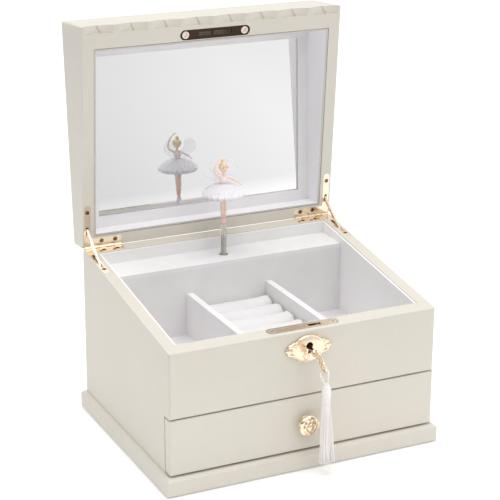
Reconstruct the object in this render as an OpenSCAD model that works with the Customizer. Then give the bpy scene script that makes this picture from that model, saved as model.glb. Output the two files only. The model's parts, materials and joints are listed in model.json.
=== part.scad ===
// Ballerina jewellery box with a wedge-shaped mirror lid, a drawer and a music movement.
// Origin: middle of the underside. +Z up, the front faces -Y.

/* [Case] */
// Width of the case
case_w = 210; // [206:1:216]
// Depth of the case
case_d = 164; // [163:1:168]
// Height of the closed box
closed_h = 150; // [149.5:0.5:153]
// Height of the rear rim
rear_rim_z = 129.6; // [129:0.2:130.4]
// Fall of the rim towards the front, in degrees
rim_slope = 8.35; // [8.1:0.05:8.6]
// How far the plinth stands out past the case
plinth_out = 3.9; // [2:0.1:6]

/* [Lid] */
// Opening angle of the lid at its stop, in degrees
lid_open = 94.4; // [92:0.2:96]
// How far the lid stands out past the case front
lid_lip = 5.6; // [4:0.1:6.5]
// Number of gouged scallops along the lid's front edge
scallops = 8; // [6:1:10]

/* [Tray] */
// Height of the dividers above the table
divider_top = 97; // [92:1:99]
// Number of rolls in the ring cushion
ring_rolls = 6; // [5:1:7]

/* [Drawer] */
// Height of the drawer front's top edge
drawer_top = 56; // [54:0.5:56.2]
// Diameter of the drawer knob
knob_d = 16.6; // [14:0.2:18]

/* [Ballerina] */
// Height of the figure's raised hand above the table
figure_top = 196.5; // [196:0.5:198]
// Diameter of the tutu
tutu_d = 33; // [30:1:34]

/* [Hidden] */
$fn = 48;
eps = 0.01;

// Case planes
hw = case_w / 2;
front_y = -case_d / 2;
back_y = case_d / 2;
wall = 9;
front_t = 11;
lining_t = 1.5;
inner_x = hw - wall;
lined_x = inner_x - lining_t;
inner_front_y = front_y + front_t;
lined_front_y = inner_front_y + lining_t;
inner_back_y = back_y - wall;
lined_back_y = inner_back_y - lining_t;
felt_t = 1;
plinth_z = 13.5;
case_front_z = 57;
board_z = 61;
floor_z = 63.6;
shelf_y = 42;
shelf_z = 118.5;
shelf_t = 3;
screen_t = 2.5;
lining_drop = 0.7;
corner_r = 1.5;
ivory = [0.85, 0.84, 0.79];
suede = [0.88, 0.87, 0.87];
gold = [0.86, 0.70, 0.50];
steel = [0.6, 0.6, 0.58];
skin = [0.96, 0.80, 0.70];

// Height of the rim plane at depth y
function rim_z(y) = rear_rim_z - (back_y - y) * tan(rim_slope);

// Points (s, n) are measured from the hinge axis: s forward along the rim, n up from it.
// lid_point turns a point fixed in the lid into case measures at the rest opening.
function lid_point(s, n) =
  [s * cos(lid_open) - n * sin(lid_open), s * sin(lid_open) + n * cos(lid_open)];

// Profile in the YZ plane, extruded from x0 to x1
module along_x(x0, x1) translate([x0, 0, 0]) rotate([90, 0, 90]) linear_extrude(x1 - x0) children();

// Slab whose top follows the sloping rim
module under_rim(x0, x1, y0, y1, z0, drop = 0)
  along_x(x0, x1)
    polygon([[y0, z0], [y1, z0], [y1, rim_z(y1) - drop], [y0, rim_z(y0) - drop]]);

// Slab of the closed lid whose underside follows the sloping rim
module over_rim(x0, x1, y0, y1, z1, rise = 0.4)
  along_x(x0, x1)
    polygon([[y0, rim_z(y0) + rise], [y1, rim_z(y1) + rise], [y1, z1], [y0, z1]]);

// Frame on the hinge axis: x across, y back along the rim, z square to the rim
module hinge_frame() translate([0, back_y, rear_rim_z]) rotate([rim_slope, 0, 0]) children();

// Frame on the rim plane at depth y
module rim_frame(y) translate([0, y, rim_z(y)]) rotate([rim_slope, 0, 0]) children();

// Turns the closed lid to its rest opening
module open_lid()
  translate([0, back_y, rear_rim_z]) rotate([-lid_open, 0, 0])
    translate([0, -back_y, -rear_rim_z]) children();

module both_sides() {
  children();
  mirror([1, 0, 0]) children();
}

// Rectangle centred in x, between y0 and y1
module strip(w, y0, y1) translate([-w / 2, y0]) square([w, y1 - y0]);

// Box with four rounded vertical edges
module rounded_box(x0, x1, y0, y1, z0, z1, r)
  translate([0, 0, z0]) linear_extrude(z1 - z0)
    union() {
      translate([x0 + r, y0]) square([x1 - x0 - 2 * r, y1 - y0]);
      translate([x0, y0 + r]) square([x1 - x0, y1 - y0 - 2 * r]);
      for (x = [x0 + r, x1 - r], y = [y0 + r, y1 - r]) translate([x, y]) circle(r);
    }

// ---------------------------------------------------------------- hinge measures
leaf_x = 104;
leaf_len = 30;
leaf_w = 7.5;
leaf_t = 1.2;
lid_gap = 0.4;
arm_w = 5.3;
arm_x = leaf_x - arm_w / 2;
arm_len = 38;
lid_arm_len = 32;
pin_r = 0.8;
knuckle_r = 1.5;
knuckle_clear = 1.9;
knuckle_gap = 0.25;
run_gap = 0.05;
slot_w = 2;
slot_s = [11, 31.2];
mortise_w = 3.8;
rivet_s = 13.8;
rivet_n = 1.4;
stay_t = 1.2;
stay_w = 3;
stay_end = [26.5, -2.2];
stay_top = lid_point(rivet_s, rivet_n);
stay_len = norm(stay_top - stay_end);
leaf_screw_x = [79, 90];
leaf_screw_s = 4.9;
arm_screw_tip = 3.3;
head_r = 1.6;
plate_head_r = 2.8;
head_t = 0.7;
shank_r = 0.7;
shank_len = 6;

// Outline of a quadrant leaf in the rim plane, on the right-hand side
module leaf_outline(reach = arm_len) {
  translate([leaf_x - leaf_len, -leaf_w]) square([leaf_len, leaf_w]);
  translate([leaf_x - arm_w, -reach]) square([arm_w, reach - 1]);
  translate([arm_x, -reach]) circle(arm_w / 2);
}

// Knuckle cylinders: odd or even fifths of the leaf length
module knuckles(first, r, grow = 0)
  for (i = [first:2:4])
    translate([leaf_x - leaf_len + i * leaf_len / 5 + knuckle_gap / 2 - grow, 0, 0])
      rotate([0, 90, 0]) cylinder(r = r, h = leaf_len / 5 - knuckle_gap + 2 * grow);

// Clearance for the whole barrel and the plate beside it
module barrel_relief()
  translate([leaf_x - leaf_len - 0.4, 0, 0])
    rotate([0, 90, 0]) cylinder(r = knuckle_clear, h = leaf_len + 1.8);

module leaf_screw_places(reach = arm_len) {
  for (x = leaf_screw_x) translate([x, -leaf_screw_s, 0]) children();
  translate([arm_x, arm_screw_tip - reach, 0]) children();
}

// Counterbored hole through a plate, sunk from z = 0 in the direction dir
module screw_hole(dir, r = head_r) mirror([0, 0, dir > 0 ? 0 : 1]) {
  translate([0, 0, -1]) cylinder(r = r + 0.1, h = 1.8);
  cylinder(r = shank_r + 0.1, h = 2);
}

// One leaf: plate from z0 to z0 + leaf_t, its knuckles, the slot and the screw holes
module quadrant_leaf(first, z0, slot, dir, reach = arm_len) {
  difference() {
    union() {
      difference() {
        translate([0, 0, z0]) linear_extrude(leaf_t) leaf_outline(reach);
        knuckles(1 - first, knuckle_clear, knuckle_gap);
      }
      knuckles(first, knuckle_r);
    }
    translate([leaf_x - leaf_len - 1, 0, 0])
      rotate([0, 90, 0]) cylinder(r = pin_r + run_gap, h = leaf_len + 2);
    translate([arm_x - slot_w / 2, -slot[1], z0 - 1])
      cube([slot_w, slot[1] - slot[0], leaf_t + 2]);
    leaf_screw_places(reach) translate([0, 0, dir > 0 ? z0 : z0 + leaf_t]) screw_hole(dir);
  }
}

// Everything that the case wood loses to the right-hand hinge
module case_hinge_cut() {
  hinge_frame() {
    translate([0, 0, -leaf_t]) linear_extrude(leaf_t + 1) leaf_outline();
    barrel_relief();
    translate([arm_x - mortise_w / 2, -33, -35]) cube([mortise_w, 24, 35]);
    leaf_screw_places() translate([0, 0, -leaf_t - shank_len])
      cylinder(r = shank_r, h = shank_len + 1);
  }
}

// Everything that the lid wood loses to the right-hand hinge, on the closed lid
module lid_hinge_cut() {
  hinge_frame() {
    linear_extrude(lid_gap + leaf_t) leaf_outline(lid_arm_len);
    barrel_relief();
    translate([arm_x - mortise_w / 2, -18, 0]) cube([mortise_w, 8.5, 4.6]);
    leaf_screw_places(lid_arm_len) cylinder(r = shank_r, h = lid_gap + leaf_t + shank_len);
  }
}

// Cross-recessed screw with its head's face just below z = 0, pointing in the direction dir
module screw(dir, r = head_r) mirror([0, 0, dir > 0 ? 0 : 1]) translate([0, 0, 0.8 - head_t]) {
  difference() {
    cylinder(r = r, h = head_t);
    for (a = [30, 120]) rotate(a) translate([-0.6 * r, -0.15 * r, -1]) cube([1.2 * r, 0.3 * r, 1.45]);
  }
  translate([0, 0, head_t - eps]) cylinder(r = shank_r, h = shank_len);
}

// ---------------------------------------------------------------- lock measures
plate_y = -75;
plate_w = 7.7;
plate_len = 57;
plate_screw_x = 24;
bolt_x = 0.8;
bolt_z = 95.5;
claw_r = [14, 16.4];
claw_slot = [4.4, 14.2];
strike_slots = [[-13.7, -3.1], [-1.1, 13.3]];
lock_y = [-78.6, -72.4];
lock_x = [-10, 20];
lock_z = [76.5, 104.2];
lock_t = 1.2;
key_droop = 18;
key_turn = 22;
key_at = [bolt_x, front_y - 1.1, 95.3];
key_r = 1.5;
bow_at = 20;
bow_r = [8.5, 10.5];
bow_t = 2.2;
eye_at = 8.8;

// Frame of the key: x across the bow, z out along the shank from the keyhole
module key_frame()
  translate(key_at) rotate([90 + key_droop, 0, 0]) rotate([0, 0, key_turn]) children();

// ================================================================ case
module base_felt() color("gray")
  translate([0, 0, felt_t / 2]) cube([case_w + 4, case_d + 4, felt_t], center = true);

module plinth_board() color(ivory) {
  w = case_w + 2 * plinth_out;
  d = case_d + 2 * plinth_out;
  bevel = 2;
  straight = plinth_z - felt_t - bevel;
  difference() {
    rounded_box(-w / 2, w / 2, -d / 2, d / 2, felt_t, plinth_z, 1.2);
    // Sloping top edge along the front and back, then along the sides
    for (a = [0, 180]) rotate([0, 0, a]) {
      along_x(-w, w) polygon([
        [-d / 2 - 1, felt_t + straight - 0.8], [-d / 2, felt_t + straight],
        [-d / 2 + 2.4, plinth_z], [-d / 2 + 2.4, plinth_z + 1], [-d / 2 - 1, plinth_z + 1]]);
      rotate([0, 0, 90]) along_x(-d, d) polygon([
        [-w / 2 - 1, felt_t + straight - 0.8], [-w / 2, felt_t + straight],
        [-w / 2 + 2.4, plinth_z], [-w / 2 + 2.4, plinth_z + 1], [-w / 2 - 1, plinth_z + 1]]);
    }
  }
}

// Depth where the side panel starts behind the drawer front
side_front_y = front_y + 9.4;

module case_side() difference() {
  union() {
    under_rim(inner_x, hw, inner_front_y, back_y, case_front_z);
    translate([inner_x, side_front_y, plinth_z])
      cube([wall, back_y - side_front_y, case_front_z - plinth_z + eps]);
  }
  case_hinge_cut();
}
module case_right() color(ivory) case_side();
module case_left() color(ivory) mirror([1, 0, 0]) case_side();

arbor_r = 1.65;
arbor_z = 75;
case_bore_r = 4;
movement_screw_at = [[-19, 100], [19, 68]];

module case_back() color(ivory) difference() {
  under_rim(-inner_x, inner_x, inner_back_y, back_y, plinth_z);
  both_sides() case_hinge_cut();
  translate([0, inner_back_y - 1, arbor_z]) rotate([-90, 0, 0]) cylinder(r = case_bore_r, h = 12);
  for (p = movement_screw_at)
    translate([p[0], inner_back_y - 1, p[1]]) rotate([-90, 0, 0]) cylinder(r = 1.2, h = 12);
}

module case_front() color(ivory) difference() {
  intersection() {
    under_rim(-hw, hw, front_y, inner_front_y, case_front_z);
    rounded_box(-hw, hw, front_y, inner_front_y + 5, 0, closed_h, corner_r);
  }
  // Chamfer that makes the upper half of the groove over the drawer
  along_x(-hw - 1, hw + 1)
    polygon([[front_y - 1, case_front_z - 1], [front_y + 0.7, case_front_z - 1],
             [front_y + 0.7, case_front_z], [front_y, case_front_z + 0.7],
             [front_y - 1, case_front_z + 0.7]]);
  rim_frame(plate_y) {
    translate([0, 0, -leaf_t]) linear_extrude(3) plate_outline();
    for (x = [-plate_screw_x, plate_screw_x])
      translate([x, 0, -leaf_t - shank_len]) cylinder(r = shank_r, h = 9);
  }
  translate([lock_x[0], lock_y[0], lock_z[0]])
    cube([lock_x[1] - lock_x[0], lock_y[1] - lock_y[0], closed_h]);
  translate([bolt_x, lock_y[0] + 1, 96.2]) rotate([90, 0, 0]) cylinder(r = 5.4, h = 8);
}

module tray_board() color("burlywood")
  translate([-inner_x, inner_front_y, case_front_z])
    cube([2 * inner_x, inner_back_y - inner_front_y, board_z - case_front_z]);

module floor_pad() color(suede)
  translate([-inner_x, inner_front_y, board_z])
    cube([2 * inner_x, shelf_y - inner_front_y, floor_z - board_z]);

module lining_front() color(suede)
  under_rim(-inner_x, inner_x, inner_front_y, lined_front_y, floor_z, lining_drop);

module lining_sides() color(suede) both_sides()
  under_rim(lined_x, inner_x, lined_front_y, inner_back_y, floor_z, lining_drop);

module lining_back() color(suede)
  under_rim(-lined_x, lined_x, lined_back_y, inner_back_y, shelf_z, lining_drop);

spindle_y = 57;
shelf_hole_r = 3.5;

module music_shelf() color(suede) difference() {
  translate([-lined_x, shelf_y, shelf_z - shelf_t])
    cube([2 * lined_x, inner_back_y - shelf_y, shelf_t]);
  translate([0, spindle_y, shelf_z - 5]) cylinder(r = shelf_hole_r, h = 10);
}

module music_screen() color([0.78, 0.78, 0.78])
  translate([-lined_x, shelf_y, board_z])
    cube([2 * lined_x, screen_t, shelf_z - shelf_t - board_z]);

// ================================================================ tray fittings
divider_x = [-35, 31.5];
divider_t = 5;

module dividers() color(suede)
  for (x = divider_x)
    translate([x - divider_t / 2, lined_front_y, floor_z])
      cube([divider_t, shelf_y - lined_front_y, divider_top - floor_z]);

roll_top = 88.5;
roll_rise = 5;

// Foam block whose top is a row of arched rolls
module ring_cushion() color(suede) {
  gap = 0.3;
  length = shelf_y - lined_front_y - 2 * gap;
  pitch = length / ring_rolls;
  arch = [for (i = [0:ring_rolls - 1], k = [0:11])
    [lined_front_y + gap + (i + k / 12) * pitch, roll_top - roll_rise + roll_rise * sin(k * 15)]];
  x0 = divider_x[0] + divider_t / 2 + gap;
  x1 = divider_x[1] - divider_t / 2 - gap;
  along_x(x0, x1)
    polygon(concat(arch, [[shelf_y - gap, roll_top - roll_rise], [shelf_y - gap, floor_z],
                          [lined_front_y + gap, floor_z]]));
}

// ================================================================ music movement
bed_y = 70;
drum_r = 6.5;
drum_z = [88, 104];
crown_y = 61.2;
crown_teeth = 24;
pinion_teeth = 12;
module_mm = 0.5;
gear_teeth = 32;
wheel_at = [-10, spindle_y];
fly_at = [-18, spindle_y];

// Spur gear with straight-sided teeth; turn is in tooth pitches
module spur(teeth, h, turn = 0) {
  r = teeth * module_mm / 2;
  root = r - 0.65;
  tip = r + 0.35;
  a = 360 / teeth;
  linear_extrude(h) {
    circle(root);
    for (i = [0:teeth - 1]) rotate((i + turn) * a)
      polygon([[root - 0.3, -0.42], [tip, -0.2], [tip, 0.2], [root - 0.3, 0.42]]);
  }
}

module movement_bedplate() color("silver") difference() {
  union() {
    translate([-25, bed_y, 63]) cube([52, inner_back_y - bed_y, 49]);
    // Upper bearing arm
    translate([-2.4, 54, 106.3]) cube([7.4, bed_y - 54 + eps, 2.7]);
    // Lower bearing arm, carried round the spring barrel
    translate([12, 54, 79.6]) cube([3, bed_y - 54 + eps, 2.4]);
    translate([-3, 54, 79.6]) cube([16, 6, 2.4]);
    // Comb seat
    translate([16, spindle_y + 0.4, drum_z[0]])
      cube([8, bed_y - spindle_y, drum_z[1] - drum_z[0]]);
    // Boss behind the spring barrel
    translate([0, bed_y + eps, arbor_z]) rotate([90, 0, 0]) cylinder(r = 4, h = 0.4);
  }
  translate([0, 60, arbor_z]) rotate([-90, 0, 0]) cylinder(r = arbor_r + run_gap, h = 20);
  translate([0, spindle_y, 70]) cylinder(r = 1.2 + run_gap, h = 45);
  for (p = movement_screw_at)
    translate([p[0], bed_y - 1, p[1]]) rotate([-90, 0, 0]) cylinder(r = 1, h = 6);
}

module movement_screws() color("silver")
  for (p = movement_screw_at) translate([p[0], 0, p[1]]) {
    translate([0, bed_y + 0.2, 0]) rotate([-90, 0, 0]) cylinder(r = 1, h = back_y - bed_y);
    translate([0, back_y, 0]) rotate([-90, 0, 0]) cylinder(r = 2.6, h = 1.4);
  }

module spring_barrel() color(gold) difference() {
  translate([0, 0, arbor_z]) rotate([-90, 0, 0]) {
    translate([0, 0, 62.6]) cylinder(r = 9.5, h = 6.8);
    translate([0, 0, 62.4]) cylinder(r = 10.6, h = 0.8);
    for (i = [0:crown_teeth - 1]) rotate((i + 0.5) * 360 / crown_teeth)
      translate([-0.4, 8.1, crown_y]) cube([0.8, 2.4, 1.3]);
  }
  translate([0, 60, arbor_z]) rotate([-90, 0, 0]) cylinder(r = arbor_r + run_gap, h = 12);
}

module winding_arbor() color(steel)
  translate([0, 59.5, arbor_z]) rotate([-90, 0, 0]) {
    difference() {
      cylinder(r = arbor_r, h = 34.5);
      translate([-3, -0.3, -eps]) cube([6, 0.6, 0.8]);
    }
  }

// Butterfly key on the back: a threaded hub with two rounded wings
module winding_key() color(gold) difference() {
  translate([0, back_y, arbor_z]) rotate([-90, 0, 0]) union() {
    translate([0, 0, 3]) cylinder(r = 3, h = 7);
    translate([0, 0, 10.2]) rotate([90, 0, 0]) translate([0, 0, -0.9]) linear_extrude(1.8)
      difference() {
        union() {
          for (x = [-6.5, 6.5]) translate([x, 5.5]) circle(5.5);
          strip(13, -1.5, 7);
        }
        for (x = [-6.8, 6.8]) translate([x, 6]) circle(2.6);
      }
  }
  translate([0, back_y, arbor_z]) rotate([-90, 0, 0]) cylinder(r = arbor_r, h = 12);
}

module music_cylinder() color(gold) {
  translate([0, spindle_y, 0]) {
    translate([0, 0, 79.8]) cylinder(r = 1.2, h = 37);
    translate([0, 0, 82.8]) difference() {
      cylinder(r = 5, h = 2.9);
      for (i = [0:pinion_teeth - 1]) rotate((i + 0.5) * 360 / pinion_teeth)
        translate([3.9, -0.85, -1]) cube([2, 1.7, 5]);
    }
    translate([0, 0, drum_z[0]]) cylinder(r = drum_r, h = drum_z[1] - drum_z[0]);
    translate([0, 0, drum_z[1] - eps]) cylinder(r = 3, h = 0.8);
    translate([0, 0, drum_z[1] + 0.6]) spur(gear_teeth, 1.2, 0.5);
    // Two tune pins in each of the comb's rows
    for (i = [0:17], k = [0, 1]) rotate(37 + i * 137.5 + k * 163)
      translate([drum_r - 0.3, 0, drum_z[0] + 0.8 + i * 0.84]) rotate([0, 90, 0])
        cylinder(r = 0.22, h = 0.75, $fn = 16);
  }
}

module tone_comb() color(steel) difference() {
  translate([7.4, spindle_y - 0.6, drum_z[0]]) cube([16.6, 1, 16]);
  for (i = [1:17])
    translate([7, spindle_y - 2, drum_z[0] + 0.43 + (i - 0.5) * 0.84 - 0.12]) cube([8, 4, 0.25]);
}

module governor_frame() color("silver") difference() {
  union() {
    for (z = [89.5, 109.3]) translate([-22, 54, z]) cube([14.4, bed_y - 54, 1.5]);
    translate([-22, 66.5, 89.5]) cube([14.4, bed_y - 66.5, 21.3]);
  }
  for (p = [wheel_at, fly_at]) translate([p[0], p[1], 80]) cylinder(r = 0.8 + run_gap, h = 40);
}

module governor_wheel() color(gold) translate([wheel_at[0], wheel_at[1], 0]) {
  translate([0, 0, 89.6]) cylinder(r = 0.8, h = 21);
  translate([0, 0, 104.5]) spur(8, 1.4);
  translate([0, 0, 107]) spur(24, 1.2, 0.5);
}

module governor_fly() color(steel) translate([fly_at[0], fly_at[1], 0]) {
  translate([0, 0, 89.6]) cylinder(r = 0.8, h = 21);
  translate([0, 0, 106.9]) spur(8, 1.4);
  translate([-4.2, -0.3, 93]) cube([8.4, 0.6, 9.5]);
}

// ================================================================ ballerina
spring_r = 2.2;
spring_bore_r = 1.4;
spring_z = [110, 134.4];
socket_top = 143;
waist_z = 172;
head_z = 187.4;
head_ball_r = 3.4;

module spindle_spring() color("gray") translate([0, spindle_y, 0]) difference() {
  translate([0, 0, spring_z[0]]) cylinder(r = spring_r, h = spring_z[1] - spring_z[0]);
  translate([0, 0, spring_z[0] - 1]) cylinder(r = spring_bore_r, h = spring_z[1] - spring_z[0]);
}

module clear_socket() color([0.9, 0.95, 1, 0.5]) translate([0, spindle_y, 0])
  rotate_extrude() polygon([
    [0, spring_z[1]], [2.2, spring_z[1]], [3.1, spring_z[1] + 1.4], [3, 137],
    [2.4, 139.2], [1.8, 142], [1.8, socket_top], [0, socket_top]]);

// Tapered limb with round ends
module limb(a, ra, b, rb) hull() {
  translate(a) sphere(ra, $fn = 24);
  translate(b) sphere(rb, $fn = 24);
}

// Figure on her toes, one arm curved over her head and the other held out low
module ballerina_figure() color(skin) translate([0, spindle_y, 0]) {
  intersection() {
    limb([0, 0, 144], 1.5, [0, 0, 156], 2.3);
    translate([-5, -5, socket_top]) cube([10, 10, 60]);
  }
  limb([0, 0, 156], 2.3, [0, 0, 167], 2.9);
  limb([0, 0, 167], 2.9, [0, 0, waist_z + 2], 2.1);
  limb([0, 0, waist_z + 2], 2.1, [0, 0, 179.6], 2.6);
  limb([0, 0, 179.6], 1.6, [0, 0, 184.6], 1.1);
  translate([0, 0, head_z]) sphere(head_ball_r, $fn = 32);
  // Raised arm
  limb([-2, 0, 180.6], 1.1, [-7.2, 0, 184.4], 0.95);
  limb([-7.2, 0, 184.4], 0.95, [-6.2, -0.3, 190.4], 0.8);
  limb([-6.2, -0.3, 190.4], 0.8, [-2, -0.8, figure_top - 0.7], 0.65);
  // Lowered arm
  limb([2, 0, 180.4], 1.1, [7, -1.6, 178.2], 0.95);
  limb([7, -1.6, 178.2], 0.95, [13, -2.6, 175.4], 0.7);
}

module ballerina_hair() color([0.9, 0.78, 0.5]) translate([0, spindle_y, 0]) difference() {
  union() {
    translate([0, 0.3, head_z + 0.3]) sphere(head_ball_r + 0.2);
    translate([0, 1, head_z + head_ball_r + 1]) sphere(2);
  }
  translate([0, 0, head_z]) sphere(head_ball_r + 0.02);
  translate([-5, -7, head_z - 8]) cube([10, 4.8, 9.4]);
  translate([-5, -5, head_z - 8]) cube([10, 10, 6]);
}

module tutu() color([1, 1, 1]) translate([0, spindle_y, 0])
  rotate_extrude() polygon([
    [3.3, 169.5], [8, 164.6], [tutu_d / 2 - 1.5, 165.2], [tutu_d / 2, 167],
    [tutu_d / 2 - 2, 170.6], [8, 174.6], [3.3, 175.4]]);

// Pair of stiff net wings on the back of the bodice, cut away behind the head
module wings() color([0.95, 0.97, 1, 0.7]) translate([0, spindle_y, 0])
  for (m = [0, 1]) mirror([m, 0, 0]) translate([0, 3.1, 0])
    rotate([90, 0, 12]) translate([0, 0, -0.3]) linear_extrude(0.6) difference() {
      union() {
        translate([8, 185.6]) circle(6.3);
        translate([5.4, 180.6]) circle(4.4);
      }
      translate([-10, 170]) square([10.3, 30]);
      translate([0, head_z]) circle(4.4);
    }

// ================================================================ lid
lid_front_y = front_y - lid_lip;
lid_member = 17;
lid_back_y = back_y - 0.3;
lid_top_z = closed_h - 2;
mirror_t = 1;
mat_t = 1.5;
mat_gap = 0.4;
mat_z = 144.8;
mat_border = 9;
panel_slope = 2.2;
lid_lining_t = 1.3;
lid_inner_front_y = lid_front_y + lid_member;
lid_lining_gap = 0.35;
panel_x = inner_x - 0.2;
panel_y0 = lid_inner_front_y + 0.2;
panel_y1 = inner_back_y - 0.2;

// Height of the mirror panel's front face at depth y on the closed lid
function panel_z(y) = mat_z - (inner_back_y - y) * tan(panel_slope);

// Slab of the mirror panel between two depths behind its front face
module panel_slab(x, y0, y1, t0, t1)
  along_x(-x, x) polygon([
    [y0, panel_z(y0) + t0], [y1, panel_z(y1) + t0], [y1, panel_z(y1) + t1], [y0, panel_z(y0) + t1]]);

module lid_top() color(ivory) open_lid() difference() {
  union() {
    rounded_box(-hw, hw, lid_front_y, lid_back_y, lid_top_z, closed_h, corner_r);
    // Wedge that the mirror is bedded on
    along_x(-panel_x, panel_x) polygon([
      [panel_y0, panel_z(panel_y0) + mat_t + mat_gap + mirror_t], [panel_y0, lid_top_z + 0.5],
      [panel_y1, lid_top_z + 0.5], [panel_y1, panel_z(panel_y1) + mat_t + mat_gap + mirror_t]]);
  }
  for (a = [-1, 1]) {
    y = a < 0 ? lid_front_y : lid_back_y;
    along_x(-hw - 1, hw + 1)
      polygon([[y, closed_h - 1], [y + a, closed_h - 1], [y + a, closed_h + 1],
               [y - a, closed_h + 1], [y - a, closed_h]]);
    rotate([0, 0, 90]) along_x(lid_front_y - 1, lid_back_y + 1)
      polygon([[a * hw, closed_h - 1], [a * (hw + 1), closed_h - 1],
               [a * (hw + 1), closed_h + 1], [a * (hw - 1), closed_h + 1],
               [a * (hw - 1), closed_h]]);
  }
}

// Scooped recesses in the rim face along its front edge, one in each equal cell of the width.
// Each ends on a ledge, deepens towards the front and has a slanting vee nick in its floor.
module scallop_cuts() {
  cell = case_w / scallops;
  half = 0.46 * cell;
  height = 5.8;
  depth = 3.6;
  for (i = [0:scallops - 1])
    translate([-hw + (i + 0.5) * cell, lid_front_y, rim_z(lid_front_y)])
      rotate([rim_slope - 10, 0, 0]) {
        translate([0, height, 0]) rotate([90, 0, 0]) linear_extrude(height + 4)
          polygon(concat([[-half, -4], [half, -4]],
            [for (k = [8:-1:-8]) [half * k / 8, depth * (1 - pow(abs(k / 8), 3))]]));
        intersection() {
          translate([0, height / 2, depth - 0.3]) rotate([0, 0, -24]) rotate([90, 0, 0])
            translate([0, 0, -10]) linear_extrude(20) polygon([[-1.4, 0], [1.4, 0], [0, 1.3]]);
          translate([-8, -4, 0]) cube([16, height + 4, 10]);
        }
      }
}

module lid_front() color(ivory) open_lid() difference() {
  intersection() {
    over_rim(-hw, hw, lid_front_y, lid_inner_front_y, lid_top_z);
    rounded_box(-hw, hw, lid_front_y, lid_inner_front_y + 5, 50, closed_h, corner_r);
  }
  translate([0, 0, lid_gap]) scallop_cuts();
  rim_frame(plate_y) {
    linear_extrude(lid_gap + leaf_t) plate_outline();
    translate([-14.5, -2.6, 0]) cube([29, 5.2, 8.5]);
    for (x = [-plate_screw_x, plate_screw_x])
      translate([x, 0, 0]) cylinder(r = shank_r, h = lid_gap + leaf_t + shank_len);
  }
}

module lid_back() color(ivory) open_lid() difference() {
  over_rim(-inner_x, inner_x, inner_back_y, lid_back_y, lid_top_z);
  both_sides() lid_hinge_cut();
}

module lid_side() difference() {
  over_rim(inner_x, hw, lid_inner_front_y, lid_back_y, lid_top_z);
  lid_hinge_cut();
}
module lid_right() color(ivory) open_lid() lid_side();
module lid_left() color(ivory) open_lid() mirror([1, 0, 0]) lid_side();

module lid_lining() color(suede) open_lid() difference() {
  x = inner_x - lid_lining_gap;
  y0 = lid_inner_front_y + lid_lining_gap;
  y1 = inner_back_y - lid_lining_gap;
  along_x(-x, x) polygon([
    [y0, rim_z(y0) + 0.8], [y1, rim_z(y1) + 0.8], [y1, panel_z(y1)], [y0, panel_z(y0)]]);
  translate([lid_lining_t - x, y0 + lid_lining_t, 0])
    cube([2 * (x - lid_lining_t), y1 - y0 - 2 * lid_lining_t, closed_h]);
}

// Cloth-covered board with a window, over the edges of the mirror
module mirror_mat() color(suede) open_lid() difference() {
  panel_slab(panel_x, panel_y0, panel_y1, 0, mat_t);
  panel_slab(lined_x - mat_border, lid_inner_front_y + mat_border + lid_lining_t,
             lined_back_y - mat_border, -1, mat_t + 1);
}

module mirror_glass() color([0.8, 0.85, 0.88]) open_lid()
  panel_slab(panel_x, panel_y0, panel_y1, mat_t + mat_gap, mat_t + mat_gap + mirror_t);

// ================================================================ hinges
module case_leaves() color(gold) both_sides() hinge_frame()
  quadrant_leaf(0, -leaf_t, slot_s, -1);

module lid_leaves() color(gold) open_lid() both_sides() hinge_frame() {
  quadrant_leaf(1, lid_gap, [10.8, 17], 1, lid_arm_len);
  // Two ears and the rivet that the stay turns on
  for (x = [-1.5, 1]) translate([arm_x + x, -rivet_s - 1.8, lid_gap]) cube([0.5, 3.6, 2.4]);
  translate([arm_x - 1.2, -rivet_s, rivet_n]) rotate([0, 90, 0]) cylinder(r = pin_r, h = 2.4);
}

// Link from the lid arm into the slot of the case arm, with a cross pin as the stop
module stay_link() hinge_frame() translate([arm_x, 0, 0]) {
  run = stay_end - stay_top;
  translate([0, -stay_top[0], stay_top[1]]) rotate([90, 0, 90])
    rotate(atan2(run[1], -run[0])) translate([0, 0, -stay_t / 2]) {
      linear_extrude(stay_t) difference() {
        union() {
          circle(1.9);
          translate([0, -stay_w / 2]) square([stay_len, stay_w]);
          translate([stay_len, 0]) circle(stay_w / 2);
        }
        circle(pin_r + run_gap);
      }
      translate([stay_len, 0, -0.9]) cylinder(r = pin_r, h = 3);
    }
}
module right_stay() color(gold) stay_link();
module left_stay() color(gold) mirror([1, 0, 0]) stay_link();

module hinge_pins() color(gold) both_sides() hinge_frame()
  translate([leaf_x - leaf_len - 0.2, 0, 0]) rotate([0, 90, 0]) cylinder(r = pin_r, h = leaf_len + 0.5);

module case_screws() color(gold) {
  both_sides() hinge_frame() leaf_screw_places() screw(-1);
  rim_frame(plate_y) for (x = [-plate_screw_x, plate_screw_x]) translate([x, 0, 0])
    screw(-1, plate_head_r);
}

module lid_screws() color(gold) open_lid() {
  both_sides() hinge_frame() leaf_screw_places(lid_arm_len) translate([0, 0, lid_gap]) screw(1);
  rim_frame(plate_y) for (x = [-plate_screw_x, plate_screw_x])
    translate([x, 0, lid_gap]) screw(1, plate_head_r);
}

// ================================================================ lock
module plate_outline() {
  strip(plate_len - plate_w, -plate_w / 2, plate_w / 2);
  for (x = [-1, 1]) translate([x * (plate_len - plate_w) / 2, 0]) circle(plate_w / 2);
}

module lock_plate() color(gold) rim_frame(plate_y) difference() {
  translate([0, 0, -leaf_t]) linear_extrude(leaf_t) plate_outline();
  translate([claw_slot[0], -1.3, -5]) cube([claw_slot[1] - claw_slot[0], 2.6, 10]);
  translate([-19, -1.1, -0.3]) cube([21, 2.2, 5]);
  for (x = [-plate_screw_x, plate_screw_x]) translate([x, 0, 0])
    screw_hole(-1, plate_head_r);
}

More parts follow.
